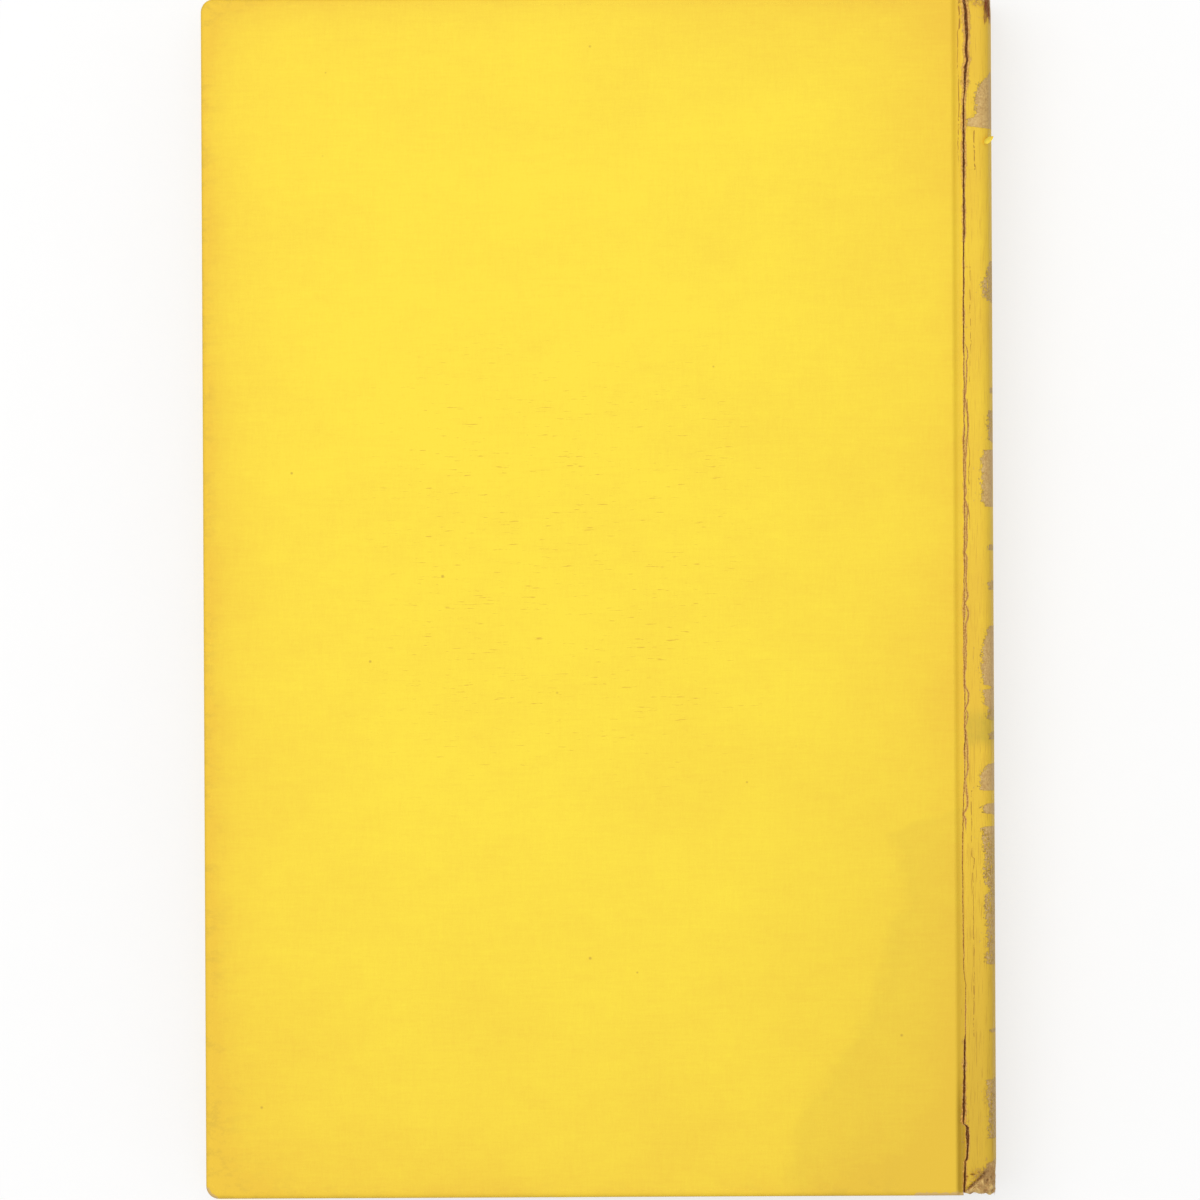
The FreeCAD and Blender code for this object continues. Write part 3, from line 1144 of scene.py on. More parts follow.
    def fields(self, points: np.ndarray) -> dict[str, np.ndarray]:
        """Signed distances across the book from the torn edge, the cracks and the stain, and their widths.

        Args:
            points: points of a grid.

        Returns:
            Values of each field by its name.
        """
        x, y = points[..., 0], points[..., 1]
        thin = between(self.thin_line, y) + 0.10 * wander(y, 3.2, 8) + 0.06 * wander(y, 0.9, 9)
        shown = np.maximum(ramp(y, 74, 82), ramp(y, -84, -82) * ramp(-y, 68, 72) * 0.7)
        strong = 0.06 + 0.06 * ramp(y, 104, 105)
        return {"torn": self.end(y) - x, "rim": SPLIT.rim(y), "loop": x - SPLIT.loop(y),
                "loop_width": SPLIT.loop_width(y), "thin": x - thin,
                "thin_width": strong * shown + 0.03 * wander(y, 1.6, 10) - 0.2 * (1 - shown),
                "tide": x - between(self.tide_line, y)}

    def build(self) -> bpy.types.Object:
        """Makes the cloth as one closed sheet and hangs it on its cover.

        Returns:
            The piece.
        """
        name = "back_cloth" if self.side is Side.BACK else "front_cloth"
        shell = Shell(name)
        outer, inner = self.rings(False), self.rings(True)
        flat, lining = self.face(False), self.face(True)
        for points in (outer, inner, flat, lining):
            shell.grid(points, **self.fields(points))
        edges = ((outer[0], inner[0]), (outer[:, 0], inner[:, 0]), (outer[:, -1], inner[:, -1]),
                 (flat[:, -1], lining[:, -1]))
        for first, second in edges:
            shell.wall(first, second, **self.fields(first))
        back = self.side is Side.BACK
        piece = shell.build(fold=lifted if back else turned_over)
        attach(piece, self.side.body)
        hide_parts(f"{self.side.name.lower()}_cover_cloth")
        finish = ClothFinish(name.replace("_", " "), split=back, stained=back)
        report(dress(piece, finish.material()))
        return piece


@dataclass
class SpineCloth:
    """Cloth over the spine: torn along the back joint, flaked at the corner and frayed at both ends.

    wear_pixels are places along the inner edge of the bare patches in the picture, counted in pixels from
    its left and top. cracks hold a hairline crack's two heights, its x and its half width.
    """

    row_pitch: float = 0.35
    cloth: float = 0.4
    fold_depth: float = 1.4
    turn_in: float = 15.0
    crease_start: tuple[float, float] = (-0.45, -109.9)
    crease_way: tuple[float, float] = (0.735, 0.678)
    corner_pixel: float = 997
    corner_x: float = 73.9
    wear_pixels: Stations = (
        (961.5, 1198), (964, 1193), (967.5, 1189), (975, 1183), (982, 1177), (983, 1173), (985.5, 1167.5),
        (992.5, 1161.5), (997, 1158.5), (997, 1142), (988, 1140), (989, 1110), (985, 1100), (986, 1081),
        (997, 1078), (997, 1036), (988, 1034), (988, 1031), (997, 1028), (997, 968), (985, 966), (985, 958),
        (987, 950), (986, 925), (984, 915), (984, 897), (990, 892), (985, 887), (983, 872), (984, 860),
        (982, 845), (981, 829), (997, 826), (997, 818), (982, 815), (981, 808), (986, 805), (997, 803),
        (997, 794), (979, 792), (979, 777), (987, 766), (997, 763), (997, 744), (988, 742), (988, 734),
        (997, 732), (997, 724), (987, 722), (987, 710), (983, 706), (982, 692), (990, 691), (990, 688),
        (981, 686), (981, 650), (984, 640), (988, 628), (997, 626), (997, 594), (987, 592), (987, 583),
        (997, 581), (997, 555), (987, 553), (988, 547), (997, 545), (997, 511), (985, 509), (980, 503),
        (981, 490), (980, 475), (980, 460), (985, 452), (997, 450), (997, 446), (988, 444), (986, 425),
        (988, 412), (997, 410), (997, 398), (989, 396), (989, 390), (997, 388), (997, 306), (990, 305),
        (985, 303), (981, 295), (981, 285), (985, 275), (989, 263), (997, 262), (997, 131.5), (966, 130.5),
        (966.5, 121), (974, 119.5), (974, 104), (975, 95), (977, 88), (980, 85), (986, 80), (989, 74),
        (997, 70), (997, 28), (990, 26), (988, 22), (984, 12), (982.5, 3), (967.5, 1.5), (966, -6.5))
    cracks: Stations = (
        (-82, -48.6, 69.2, 0.05), (-48.6, -36, 68.75, 0.05), (12, 36.6, 68.6, 0.045),
        (39.4, 61, 69.05, 0.035), (78.5, 86.4, 70.0, 0.10))

    @property
    def wear_line(self) -> Stations:
        """Height and x of each place along the inner edge of the bare patches.

        Between the patches the line runs along the spine's corner.
        """
        across, down = np.array(self.wear_pixels, float).T
        x, y = PICTURE.place(across, down)
        return tuple(zip(y, np.where(across == self.corner_pixel, self.corner_x, x)))

    def columns(self, y: np.ndarray) -> np.ndarray:
        """Distances along the face: close ones from the torn edge to the corner, wider ones over the back.

        Args:
            y: heights on the book.

        Returns:
            Distances, heights by columns.
        """
        start = SPLIT.spine_edge(y) - SECTION.ridge_x
        start = np.where(start < 0, start, start / math.sin(SECTION.slope))
        near = start[:, None] + (3.2 - start[:, None]) * np.linspace(0, 1, 15)
        girth = SECTION.girth
        far = np.concatenate([np.linspace(3.2, 6.4, 10)[1:], np.linspace(6.4, girth - 5.5, 15)[1:],
                              np.linspace(girth - 5.5, girth - 2.4, 7)[1:], [girth - 1.2, girth]])
        return np.concatenate([near, np.tile(far, (len(y), 1))], 1)

    def sheet(self, inner: bool) -> np.ndarray:
        """One face of the cloth.

        Straight along the book, with half a circle at each end that carries it to the turned-in part. Short
        of the ridge the turned-in part comes up against the face.

        Args:
            inner: the face against the card, one thickness inside the outer one.

        Returns:
            Points, rows along the book by columns round the spine.
        """
        radius = (self.fold_depth - 2 * self.cloth) / 2 if inner else self.fold_depth / 2
        bend = SECTION.half_height - self.fold_depth / 2
        turn = np.linspace(-math.pi / 2, math.pi / 2, 9)
        tip_y = bend + radius * np.cos(turn)
        tip_depth = self.fold_depth / 2 - radius * np.sin(turn)
        folded_y = np.linspace(SECTION.half_height - self.turn_in, bend, 5)[:-1]
        folded_depth = np.full(4, self.fold_depth / 2 + radius)
        rows = np.linspace(bend, -bend, int(2 * bend / self.row_pitch) + 1)[1:-1]
        y = np.concatenate([folded_y, tip_y, rows, -tip_y[::-1], -folded_y[::-1]])
        depth = np.concatenate([folded_depth, tip_depth, np.full(len(rows), self.fold_depth / 2 - radius),
                                tip_depth[::-1], folded_depth[::-1]])
        s = self.columns(y)
        deep = np.tile(depth[:, None], (1, s.shape[1]))
        tight = np.minimum(deep, self.cloth) + np.maximum(deep - self.cloth, 0) * 0.4
        share = ramp(-s, -0.9, 0.0) + ramp(s, SECTION.girth - 0.9, SECTION.girth)
        deep = deep + (tight - deep) * share
        tall = np.tile(y[:, None], (1, s.shape[1]))
        return self.rumpled(SECTION.layer(s, tall, deep), s, tall)

    def crumple(self, s: np.ndarray, y: np.ndarray) -> np.ndarray:
        """Height of the cloth crumpled at the tail.

        A deep crease runs aslant over the end, a straight line with a narrow bell-shaped hollow. Beside it
        the cloth lies in ridges along the crease, seeded noise that is stretched that way.

        Args:
            s: distances along the spine's face.
            y: heights on the book.

        Returns:
            The height.
        """
        (s0, y0), (cosine, sine) = self.crease_start, self.crease_way
        along = (s - s0) * cosine + (y - y0) * sine
        across = (s - s0) * sine - (y - y0) * cosine
        worn = ramp(across, -0.4, 0.4) * ramp(-y, 104.2, 106.4) * ramp(-s, -6.5, -4.5)
        ridges = 0.42 * mottle(along * 0.4, across, 0.5, 21) + 0.26 * mottle(s, y, 0.6, 22)
        bank = 0.34 * np.exp(-((across - 0.55) / 0.34) ** 2) + 0.16 * np.exp(-((across + 0.5) / 0.4) ** 2)
        crease = (bank - 0.5 * np.exp(-(across / 0.24) ** 2)) * ramp(-y, 105.6, 107.0) * ramp(-s, -3.6, -2.6)
        hem = y + 107.3 - 0.26 * s
        fold = 0.22 * np.exp(-((hem + 0.34) / 0.22) ** 2) - 0.34 * np.exp(-(hem / 0.16) ** 2)
        return worn * ridges + crease + fold * ramp(s, -1.4, -0.8) * ramp(-s, -2.4, -1.6)

    def rumpled(self, points: np.ndarray, s: np.ndarray, y: np.ndarray) -> np.ndarray:
        """Cloth worn down and crumpled at the tail, and a little at the head. The very ends are worn back.

        Args:
            points: the smooth cloth.
            s: distances along the spine's face.
            y: heights on the book.

        Returns:
            The points, moved.
        """
        _, _, nx, nz = SECTION.spine(s, y)
        tail = ramp(-y, 104.5, 107.5)
        head = ramp(y, 107.5, 110.5)
        lift = self.crumple(s, y) - 0.16 * tail + head * (0.14 * mottle(s, y, 0.9, 23) - 0.12)
        frayed = 0.32 * tail * (1 + mottle(s, y * 0, 0.9, 24)) + 0.28 * head * (1 + mottle(s, y * 0, 0.7, 25))
        edge = ramp(np.abs(y), 108.6, 110.4)
        points = points.copy()
        points[..., 0] += nx * lift
        points[..., 2] += nz * lift
        points[..., 1] -= np.sign(y) * frayed * edge
        return points

    def fields(self, s: np.ndarray, y: np.ndarray) -> dict[str, np.ndarray]:
        """Distances from the torn edge and the cracks, their widths, and how far inside a bare patch.

        Args:
            s: distances along the spine's face.
            y: heights on the book.

        Returns:
            Values of each field by its name.
        """
        x = SECTION.ridge_x + s
        thin, width = np.full(s.shape, 60.0), np.full(s.shape, -0.2)
        for low, high, at, half in self.cracks:
            inside = (y > low) & (y < high)
            thin = np.where(inside, at, thin)
            width = np.where(inside, half, width)
        thin = thin - 0.15 + 0.16 * wander(y, 4.4, 12) + 0.09 * wander(y, 0.9, 13)
        left = between(self.wear_line, y)
        inner = SECTION.distance_at(left) + np.maximum(left - 73.2, 0) * 6
        outer = SECTION.distance_at(73.0) + 1.6 + 1.2 * wander(y, 3.0, 34)
        flake = np.minimum(s - inner, outer - s) + 0.10 * mottle(s, y, 0.8, 31)
        thin_wear = ramp(-y, 40, 46) * ramp(y, -104, -103) + ramp(y, -31, -28) * ramp(-y, 19, 22)
        thin_wear = thin_wear + ramp(y, -9, -5) * ramp(-y, -15, -10) + ramp(y, 28, 31) * ramp(-y, -84, -82)
        flake = np.minimum(flake, 1.2 - 1.05 * np.minimum(thin_wear, 1))
        corner = SECTION.girth - 4.0
        rubbed = 0.9 * mottle(s, y, 7.0, 33) - 0.62 - 0.55 * np.abs(s - corner)
        start = self.columns(y[:, 0])[:, :1]
        return {"torn": s - start, "rim": SPLIT.rim(y), "loop": x - SPLIT.loop(y),
                "loop_width": SPLIT.loop_width(y), "thin": x - thin,
                "thin_width": width + 0.03 * wander(y, 1.5, 16), "flake": np.maximum(flake, rubbed),
                "crumple": self.crumple(s, y)}

    def build(self) -> bpy.types.Object:
        """Makes the cloth as one closed sheet on the pages' body.

        Returns:
            The piece.
        """
        shell = Shell("spine_cloth_sheet")
        outer, inner = self.sheet(False), self.sheet(True)
        tall = outer[..., 1]
        s = self.columns(tall[:, 0])
        shell.sheet(outer, inner, **self.fields(s, tall))
        piece = shell.build(fold=lifted)
        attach(piece, "book_block")
        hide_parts("spine_cloth")
        finish = ClothFinish("spine cloth", split=True, flaked=True, bright=srgb(255, 222, 62),
                             dull=srgb(240, 197, 62))
        report(dress(piece, finish.material()))
        return piece


@dataclass
class PageBlock:
    """All the leaves: hollow fore edge, shoulders turned up and down, rounded back."""

    half: float = 8.0
    fore_x: float = -70.2456
    hollow: float = 2.4
    bend_x: float = 66.27
    depth: float = 1.9
    reach: float = 108.0
    leaves: int = 161

    def fore(self, share: np.ndarray) -> np.ndarray:
        """Fore edge: a circular arc through the outer leaves, with the gatherings a little out of line.

        Args:
            share: place of each leaf, from -1 at the front to 1 at the back.

        Returns:
            x of each leaf's edge.
        """
        radius = (self.half ** 2 + self.hollow ** 2) / (2 * self.hollow)
        centre = self.fore_x + self.hollow - radius
        gather = wander(np.round(share * 8 - 0.5) * 10, 3.0, 41) * (1 - np.abs(share)) ** 0.3
        return centre + np.sqrt(radius ** 2 - (share * self.half) ** 2) + 0.10 * gather

    def leaf_line(self, share: np.ndarray, y: float) -> np.ndarray:
        """Lines of the leaves at one height on the book.

        Each leaf runs level from the fore edge to the shoulder and then straight to its place on the back.

        Args:
            share: place of each leaf, from -1 at the front to 1 at the back.
            y: height on the book.

        Returns:
            Points, leaves by stations.
        """
        s = SECTION.girth * (1 - share) / 2
        back = SECTION.layer(s, np.full_like(s, y), self.depth)
        level = share * self.half
        out = np.linspace(0, 1, 9)[None, :]
        fore = self.fore(share)[:, None]
        x = fore + (self.bend_x - fore) * out
        flat = np.stack(np.broadcast_arrays(x, y, level[:, None]), -1)
        t = np.linspace(0, 1, 7)[None, 1:, None]
        bend = np.stack([np.full_like(level, self.bend_x), np.full_like(level, y), level], -1)[:, None]
        return np.concatenate([flat, bend + (back[:, None] - bend) * t], 1)

    def build(self) -> bpy.types.Object:
        """Makes the block with a field that counts the leaves.

        Returns:
            The piece.
        """
        share = np.linspace(-1, 1, self.leaves)
        rows = np.linspace(-self.reach, self.reach, 37)
        shell = Shell("leaves")
        sheets = np.array([self.leaf_line(share, y) for y in rows])
        level = np.broadcast_to((share * self.half)[None, :, None], sheets.shape[:3])
        for row in (0, -1):
            shell.grid(sheets[row], leaf=level[row])
            shell.grid(sheets[:, row], leaf=level[:, row])
            shell.grid(sheets[:, :, row], leaf=level[:, :, row])
        piece = shell.build(fold=lifted)
        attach(piece, "book_block")
        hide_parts("text_block")
        report(dress(piece, PageFinish().material()))
        return piece


@dataclass
class EndBand:
    """Band across the back of the pages at one end, wound with thread."""

    end: int
    half: float = 8.2
    centre_depth: float = 2.8
    width: float = 1.8
    height: float = 1.6
    pitch: float = 0.62

    def build(self, material: bpy.types.Material) -> bpy.types.Object:
        """Makes the band: a rounded section carried along the back, swollen at each turn of the thread.

        The radius is that of a rounded square, times one plus a small wave along the band.

        Args:
            material: finish of the piece.

        Returns:
            The piece.
        """
        centre, radius = SECTION.crown
        path = np.linspace(-1, 1, 261)
        angle = path * self.half / (radius - self.centre_depth)
        turn = np.linspace(0, 2 * math.pi, 17)
        wave = np.cos(2 * np.pi * path * self.half / self.pitch) ** 8
        swell = np.where(np.abs(path) == 1, 0.0, 1 - 0.13 * wave)
        power = (np.abs(np.cos(turn)) ** 4 + np.abs(np.sin(turn)) ** 4) ** -0.25
        across = (self.width / 2) * np.cos(turn) * power
        up = (self.height / 2) * np.sin(turn) * power
        out = radius - self.centre_depth + across[None] * swell[:, None]
        slant = 0.25 * np.sin(turn)[None] * self.pitch / radius
        x = centre + out * np.cos(angle[:, None] + slant)
        z = out * np.sin(angle[:, None] + slant)
        y = self.end * (108 + self.height / 2 + up[None] * swell[:, None])
        shell = Shell("head_band_thread" if self.end > 0 else "tail_band_thread")
        shell.grid(np.stack(np.broadcast_arrays(x, y, z), -1))
        piece = shell.build(fold=lifted, sharp=60)
        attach(piece, "book_block")
        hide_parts("head_band" if self.end > 0 else "tail_band")
        report(dress(piece, material))
        return piece


@dataclass
class HingePaper:
    """Fold of an endpaper between its two halves."""

    side: Side
    tip: tuple[float, float] = (67.8886, 9.6185)
    sheet: float = 0.2
    reach: float = 107.8

    def at(self, depth: np.ndarray, out: np.ndarray) -> tuple[np.ndarray, np.ndarray]:
        """Station and level at a depth above the pages and a distance past the shoulder's tip."""
        half = math.sqrt(0.5)
        return self.tip[0] + half * (out - depth), self.tip[1] + half * (out + depth)

    def build(self, material: bpy.types.Material) -> bpy.types.Object:
        """Makes a thin strip along the ends of the two halves, carried over the joint.

        A rectangle of paper, with one edge on the flyleaf and the other on the pastedown, drawn out along
        the book.

        Args:
            material: finish of the piece.

        Returns:
            The piece.
        """
        depth = np.concatenate([np.linspace(0.02, 0.38, 11), np.linspace(0.38, 0.02, 11), [0.02]])
        out = np.concatenate([np.full(11, 0.16), np.full(11, 0.01), [0.16]])
        x, z = self.at(depth, out)
        rows = np.linspace(-self.reach, self.reach, 61)[:, None]
        ring = np.stack(np.broadcast_arrays(x[None], rows, z[None]), -1)
        shell = Shell(f"{self.side.name.lower()}_hinge_paper")
        shell.bar(ring)
        piece = shell.build(fold=lifted if self.side is Side.BACK else turned_over)
        for depth_end in (self.sheet * 0.5, self.sheet * 1.5):
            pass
        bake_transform(piece)
        report(dress(piece, material))
        return piece


@dataclass
class FrontJointStrip:
    """Narrow strip of cloth that joins the front cover's cloth to the spine's at the hinge."""

    start: float = 68.003
    end: float = 68.153
    cloth: float = 0.4

    def build(self, material: bpy.types.Material) -> bpy.types.Object:
        """Makes the strip: a rectangle across the joint, drawn out along the book.

        Args:
            material: finish of the piece.

        Returns:
            The piece.
        """
        across = np.linspace(self.start, self.end, 7)
        x = np.concatenate([across, across[::-1], across[:1]])
        rows = np.linspace(-SECTION.half_height + 0.1, SECTION.half_height - 0.1, 75)[:, None]
        inner = np.concatenate([np.zeros(7), np.full(7, self.cloth), [0.0]])
        level = SECTION.cover_level - SECTION.dip(x[None], rows * 0) - inner[None]
        ring = np.stack(np.broadcast_arrays(x[None], rows, level), -1)
        shell = Shell("front_joint_strip")
        shell.bar(ring)
        piece = shell.build(fold=turned_over)
        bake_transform(piece)
        report(dress(piece, material))
        return piece


@dataclass
class TornMull:
    """Brown mull and glue that show through the open split, on the spine's side of it."""

    depth: float = 0.45
    thickness: float = 0.16
    under_cover: float = 0.35
    reach: float = 110.5

    def build(self, material: bpy.types.Material) -> bpy.types.Object:
        """Makes a thin ragged strip under both torn edges, closed all round.

        It follows the joint's level less a depth, lumpy with seeded noise. Beside the turned-in cloth at each
        end it keeps between the two edges.

        Args:
            material: finish of the piece.

        Returns:
            The piece.
        """
        rows = np.linspace(-self.reach, self.reach, 633)
        ends = np.abs(rows) > 95.6
        first = SPLIT.cover_edge(rows) + np.where(ends, 0.03, -self.under_cover)
        last = SPLIT.spine_edge(rows) + np.where(ends, -0.03, 0.5)
        x = first[:, None] + (np.maximum(last, first + 0.02) - first)[:, None] * np.linspace(0, 1, 7)
        y = np.broadcast_to(rows[:, None], x.shape)
        level = SECTION.cover_level - SECTION.dip(x, y) - self.depth - 0.06 * (1 + mottle(x, y, 0.35, 91))
        top = np.stack([x, y, level], -1)
        base = top - np.array([0, 0, self.thickness])
        shell = Shell("torn_mull")
        shell.sheet(top, base)
        piece = shell.build(fold=lifted)
        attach(piece, "book_block")
        report(dress(piece, material))
        return piece


@dataclass(frozen=True)
class Tuft:
    """Group of loose threads: where they start, how many, how long, and which way they lie.

    s and y are limits of the start on the spine's face, heading is in degrees from straight across the book,
    and curl is the greatest turn of a thread along its length, in radians.
    """

    s: tuple[float, float]
    y: tuple[float, float]
    count: int
    length: tuple[float, float]
    heading: tuple[float, float]
    seed: int
    curl: float = 1.6


@dataclass
class LooseThreads:
    """Frayed threads along the split and at the ends of the spine."""

    name: str
    tufts: tuple[Tuft, ...]
    thickness: float = 0.055
    lift: float = 0.35

    def lines(self, tuft: Tuft) -> tuple[np.ndarray, np.ndarray]:
        """Paths of one tuft's threads, which lie along the spine's face and rise and curl off it.

        Args:
            tuft: the group of threads.

        Returns:
            Points, threads by stations, and the radius at each.
        """
        draw = np.random.default_rng(tuft.seed)
        n, steps = tuft.count, np.linspace(0, 1, 9)[None]
        s0, y0 = (draw.uniform(*limits, (n, 1)) for limits in (tuft.s, tuft.y))
        length = draw.uniform(*tuft.length, (n, 1))
        angle = np.radians(draw.uniform(*tuft.heading, (n, 1)))
        curl = draw.uniform(-tuft.curl, tuft.curl, (n, 1)) * steps
        s = s0 + length * steps * np.cos(angle + curl)
        y = y0 + length * steps * np.sin(angle + curl)
        y = np.clip(y, -SECTION.half_height - 0.4, SECTION.half_height + 0.4)
        rise = draw.uniform(0.1, 1.0, (n, 1)) * self.lift * np.sin(steps * 2.6) + 0.02
        taper = np.sin(np.pi * np.clip(steps, 0, 1)) ** 0.4
        radius = self.thickness / 2 * taper * draw.uniform(0.6, 1.2, (n, 1))
        return SECTION.layer(s, y, -rise), radius

    def build(self, body: str, material: bpy.types.Material) -> bpy.types.Object:
        """Makes all the threads as thin tubes with closed ends.

        Args:
            body: body that they ride on.
            material: finish of the piece.

        Returns:
            The piece.
        """
        shell = Shell(self.name)
        for tuft in self.tufts:
            points, radius = self.lines(tuft)
            along = np.gradient(points, axis=1)
            along /= np.linalg.norm(along, axis=-1, keepdims=True) + 1e-9
            side = np.cross(along, np.array([0.13, 0.21, 0.97]))
            side /= np.linalg.norm(side, axis=-1, keepdims=True) + 1e-9
            over = np.cross(side, along)
            turn = np.linspace(0, 2 * math.pi, 6)
            ring = side[:, :, None] * np.cos(turn)[:, None] + over[:, :, None] * np.sin(turn)[:, None]
            tubes = points[:, :, None] + ring * radius[:, :, None, None]
            for tube in tubes:
                shell.grid(tube)
        piece = shell.build(fold=lifted, sharp=80)
        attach(piece, body)
        report(dress(piece, material))
        return piece


@dataclass
class CurledFlake:
    """Flake of the yellow coating that has come loose and stands off the spine's corner."""

    s: float = 4.15
    y: float = 84.3
    length: float = 2.1
    width: float = 0.95
    turn: float = math.radians(40)
    thickness: float = 0.09

    def build(self, material: bpy.types.Material) -> bpy.types.Object:
        """Makes the flake: a narrow leaf shape, bent up along its length and curled across it.

        Args:
            material: finish of the piece.

        Returns:
            The piece.
        """
        u, v = np.meshgrid(np.linspace(-1, 1, 25), np.linspace(-1, 1, 11), indexing="ij")
        broad = self.width / 2 * (1 - np.abs(u) ** 3) * (1 + 0.15 * wander(u * 9, 2.0, 51))
        along, across = u * self.length / 2, v * broad
        s = self.s + along * math.cos(self.turn) - across * math.sin(self.turn)
        y = self.y + along * math.sin(self.turn) + across * math.cos(self.turn)
        rise = 0.22 + 0.55 * (u * 0.5 + 0.5) ** 2 + 0.25 * v ** 2
        outer = SECTION.layer(s, y, -rise)
        inner = SECTION.layer(s, y, -rise + self.thickness)
        shell = Shell("curled_flake")
        shell.sheet(outer, inner)
        piece = shell.build(fold=lifted)
        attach(piece, "book_block")
        report(dress(piece, material))
        return piece


# Kept nodes, stage and camera


def dress_nodes() -> None:
    """Gives each piece that keeps its CAD form its finish."""
    endpaper = PaperFinish("endpaper").material()
    board = BoardFinish("greyboard").material()
    finishes = {
        "back_flyleaf": endpaper, "front_flyleaf": endpaper, "back_pastedown": endpaper,
        "front_pastedown": endpaper, "back_board": board, "front_board": board,
        "spine_inlay": BoardFinish("spine card", srgb(164, 132, 88), srgb(120, 90, 56)).material(),
        "spine_lining": PaperFinish("lining paper", srgb(190, 160, 116), srgb(150, 118, 76)).material(),
        "spine_mull": MullFinish().material(),
    }
    for name, finish in finishes.items():
        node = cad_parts[name]
        node.data.materials.clear()
        node.data.materials.append(finish)
        log.info("%s: finish %s", name, finish.name)


@dataclass
class Studio:
    """Pale floor, even soft light and the camera above the back cover."""

    lens: float = 400.0
    sensor: float = 36.0
    view_width: float = 222.0
    shift_x: float = 0.13
    shift_y: float = -0.5
    roll: float = math.radians(-0.27)
    clip: tuple[float, float] = (0.05, 20)
    sky: float = 0.645
    backdrop: float = 1.0
    lamp: float = 0.385
    lamp_size: float = 0.9
    lamp_place: tuple[float, float, float] = (-0.28, 0.26, 1.1)
    floor_half: float = 1600.0
    floor_pale: Colour = (0.55, 0.55, 0.55)
    floor_grey: Colour = (0.53, 0.53, 0.53)
    glow: float = 1.68
    glow_share: float = 0.4

    def floor(self) -> None:
        """Makes the floor: a flat square that looks paler to the camera than to the book."""
        u, v = np.meshgrid(np.linspace(-1, 1, 41), np.linspace(-1, 1, 41), indexing="ij")
        shell = Shell("floor")
        level = np.zeros_like(u) - SECTION.cover_level
        shell.grid(np.stack([u * self.floor_half, v * self.floor_half, level], -1))
        plane = shell.build(fold=lifted)
        if plane.data.polygons[0].normal.z < 0:
            plane.data.flip_normals()
        net = Net("pale floor")
        grain = net.noise((6, 6, 6), 3, 0.6)
        colour = net.mix(grain.step(0.3, 0.7) * 0.3, self.floor_pale, self.floor_grey)
        cloth = net.node("ShaderNodeBsdfDiffuse", {}, {"Color": colour})
        rays = [net.node("ShaderNodeLightPath", {}, {}, k)
                for k in ("Is Camera Ray", "Is Glossy Ray", "Is Transmission Ray")]
        seen = rays[0].most(rays[1]).most(rays[2])
        glow = net.node("ShaderNodeEmission", {}, {"Color": (1, 1, 1, 1), "Strength": self.glow})
        net.node_output(net.node("ShaderNodeMixShader", {}, {0: seen * self.glow_share, 1: cloth, 2: glow}))
        plane.data.materials.append(net.material)

    def light(self) -> None:
        """Sets an even pale sky and one wide lamp above the head end."""
        world = bpy.data.worlds.new("studio")
        bpy.context.scene.world = world
        world.use_nodes = True
        tree = world.node_tree
        tree.nodes.clear()
        path = tree.nodes.new("ShaderNodeLightPath")
        backs = [tree.nodes.new("ShaderNodeBackground") for _ in range(2)]
        for back, strength in zip(backs, (self.sky, self.backdrop)):
            back.inputs["Color"].default_value = (1, 1, 1, 1)
            back.inputs["Strength"].default_value = strength
        mix = tree.nodes.new("ShaderNodeMixShader")
        tree.links.new(path.outputs["Is Camera Ray"], mix.inputs[0])
        tree.links.new(backs[0].outputs[0], mix.inputs[1])
        tree.links.new(backs[1].outputs[0], mix.inputs[2])
        output = tree.nodes.new("ShaderNodeOutputWorld")
        tree.links.new(mix.outputs[0], output.inputs["Surface"])
        data = bpy.data.lights.new("wide lamp", "AREA")
        data.shape, data.size, data.size_y = "RECTANGLE", self.lamp_size, self.lamp_size
        data.energy = self.lamp * math.pi * self.lamp_place[2] ** 2 * 4
        lamp = bpy.data.objects.new("wide lamp", data)
        bpy.context.scene.collection.objects.link(lamp)
        lamp.location = self.lamp_place
        lamp.rotation_euler = (Vector((0, 0, 0)) - lamp.location).to_track_quat("-Z", "Y").to_euler()
        lamp.visible_camera = False

    def camera(self) -> None:
        """Sets the camera straight above the book, turned by a hair."""
        data = bpy.data.cameras.new("camera")
        data.lens, data.sensor_width = self.lens, self.sensor
        distance = self.view_width / (self.sensor / self.lens) * MM
        camera = bpy.data.objects.new("camera", data)
        bpy.context.scene.collection.objects.link(camera)
        top = 2 * SECTION.cover_level * MM
        camera.location = (self.shift_x * MM, self.shift_y * MM, top + distance)
        camera.rotation_euler = (0, 0, self.roll)
        data.clip_start, data.clip_end = self.clip
        bpy.context.scene.camera = camera

    def build(self) -> None:
        """Sets the whole studio."""
        bpy.context.scene.view_settings.view_transform = "Standard"
        self.floor()
        self.light()
        self.camera()


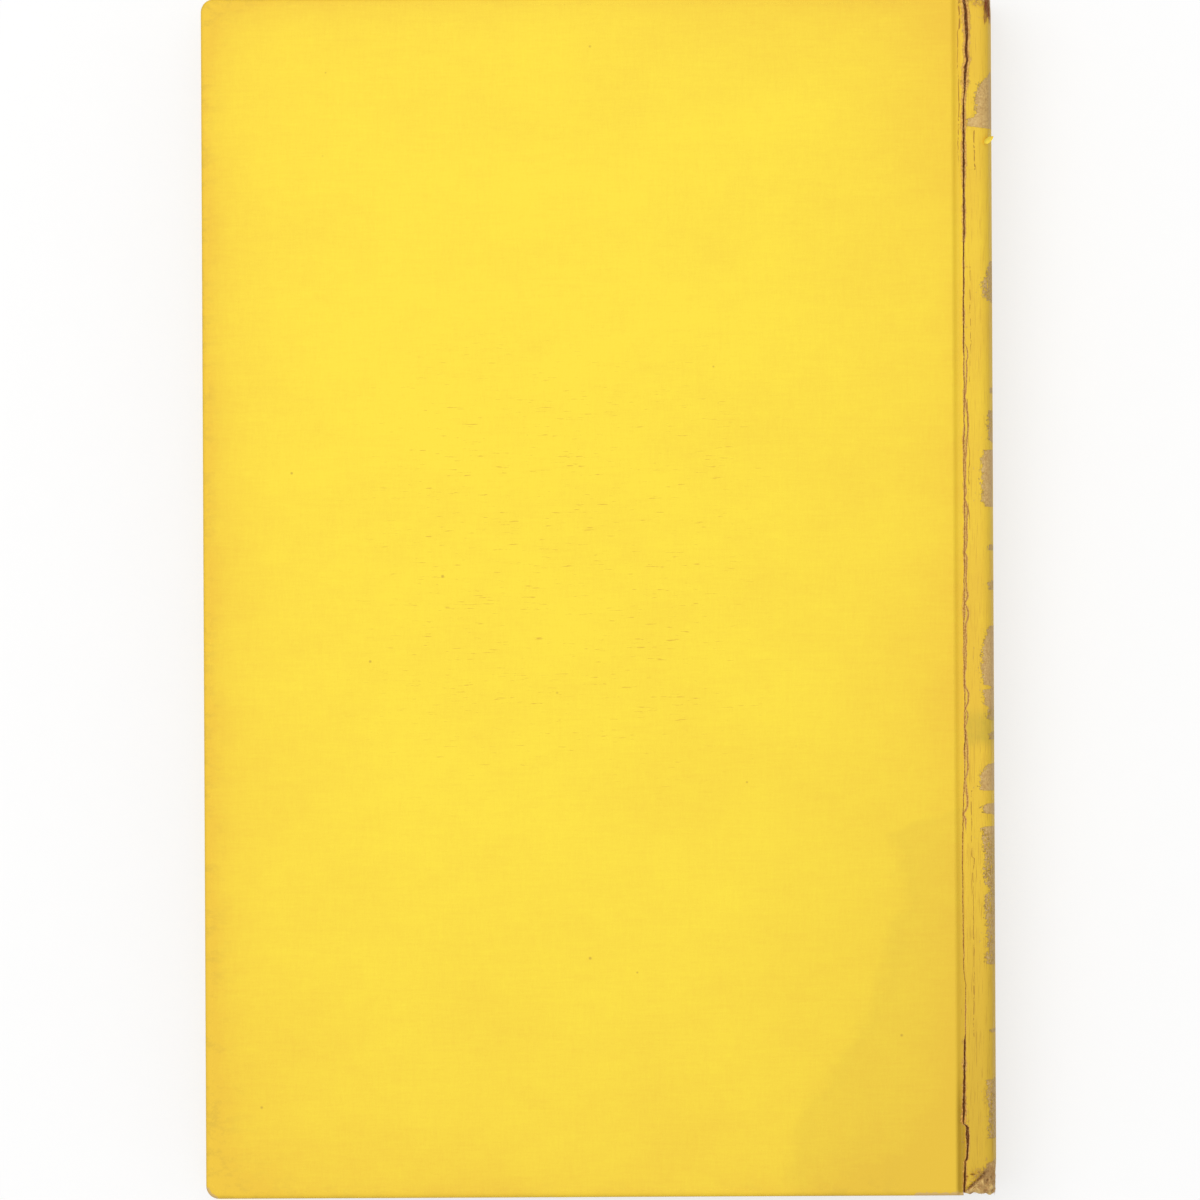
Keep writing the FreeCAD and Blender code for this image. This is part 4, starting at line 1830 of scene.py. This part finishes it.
# Each tuft: limits of the start's s and y, count, limits of length and of heading in degrees, seed, curl
FRAYED_TUFTS = (
    Tuft((0.2, 3.0), (109.6, 110.9), 30, (0.5, 1.5), (-150, -30), 61),
    Tuft((3.6, 5.2), (107.0, 110.8), 30, (0.7, 2.2), (-120, -60), 62),
    Tuft((0.4, 5.4), (-110.9, -106.6), 190, (0.4, 1.9), (10, 80), 63),
    Tuft((2.6, 5.6), (-107.2, -104.6), 60, (0.4, 1.4), (-60, 60), 66),
    Tuft((-0.5, -0.1), (40, 92), 60, (0.2, 0.7), (60, 240), 64),
    Tuft((-0.2, 0.5), (92, 110), 50, (0.25, 0.9), (60, 240), 67),
    Tuft((-1.3, -0.4), (-106, -82), 60, (0.2, 0.8), (60, 260), 65))
FIBRE_TUFTS = (
    Tuft((3.7, 5.6), (108.6, 111.0), 46, (1.0, 3.2), (-95, -85), 68, 0.25),
    Tuft((3.4, 4.0), (107.4, 110.6), 12, (0.8, 2.0), (-80, -60), 69, 0.3))


def main() -> None:
    """Builds the book piece by piece, then the studio."""
    logging.basicConfig(level=logging.INFO, format="%(name)s %(message)s")
    dress_nodes()
    PageBlock().build()
    CoverCloth(Side.BACK, row_pitch=0.35).build()
    front = CoverCloth(Side.FRONT, row_pitch=3.0).build()
    SpineCloth().build()
    paper = PaperFinish("hinge paper", toned=0.0).material()
    for side in Side:
        HingePaper(side).build(paper)
    FrontJointStrip().build(front.data.materials[0])
    band = ThreadFinish("band thread").material()
    for end in (1, -1):
        EndBand(end).build(band)
    thread = ThreadFinish("frayed thread", srgb(218, 180, 118), srgb(160, 112, 64)).material()
    LooseThreads("frayed_threads", FRAYED_TUFTS, thickness=0.05, lift=0.3).build("book_block", thread)
    dark = ThreadFinish("brown fibre", srgb(168, 96, 52), srgb(86, 42, 20)).material()
    LooseThreads("brown_fibres", FIBRE_TUFTS, thickness=0.09, lift=0.22).build("book_block", dark)
    TornMull().build(ThreadFinish("torn mull", srgb(150, 96, 48), srgb(82, 46, 20)).material())
    flake = ClothFinish("loose flake", bright=srgb(255, 238, 96), dull=srgb(255, 224, 72)).material()
    CurledFlake().build(flake)
    Studio().build()


if __name__ == "__main__":
    main()
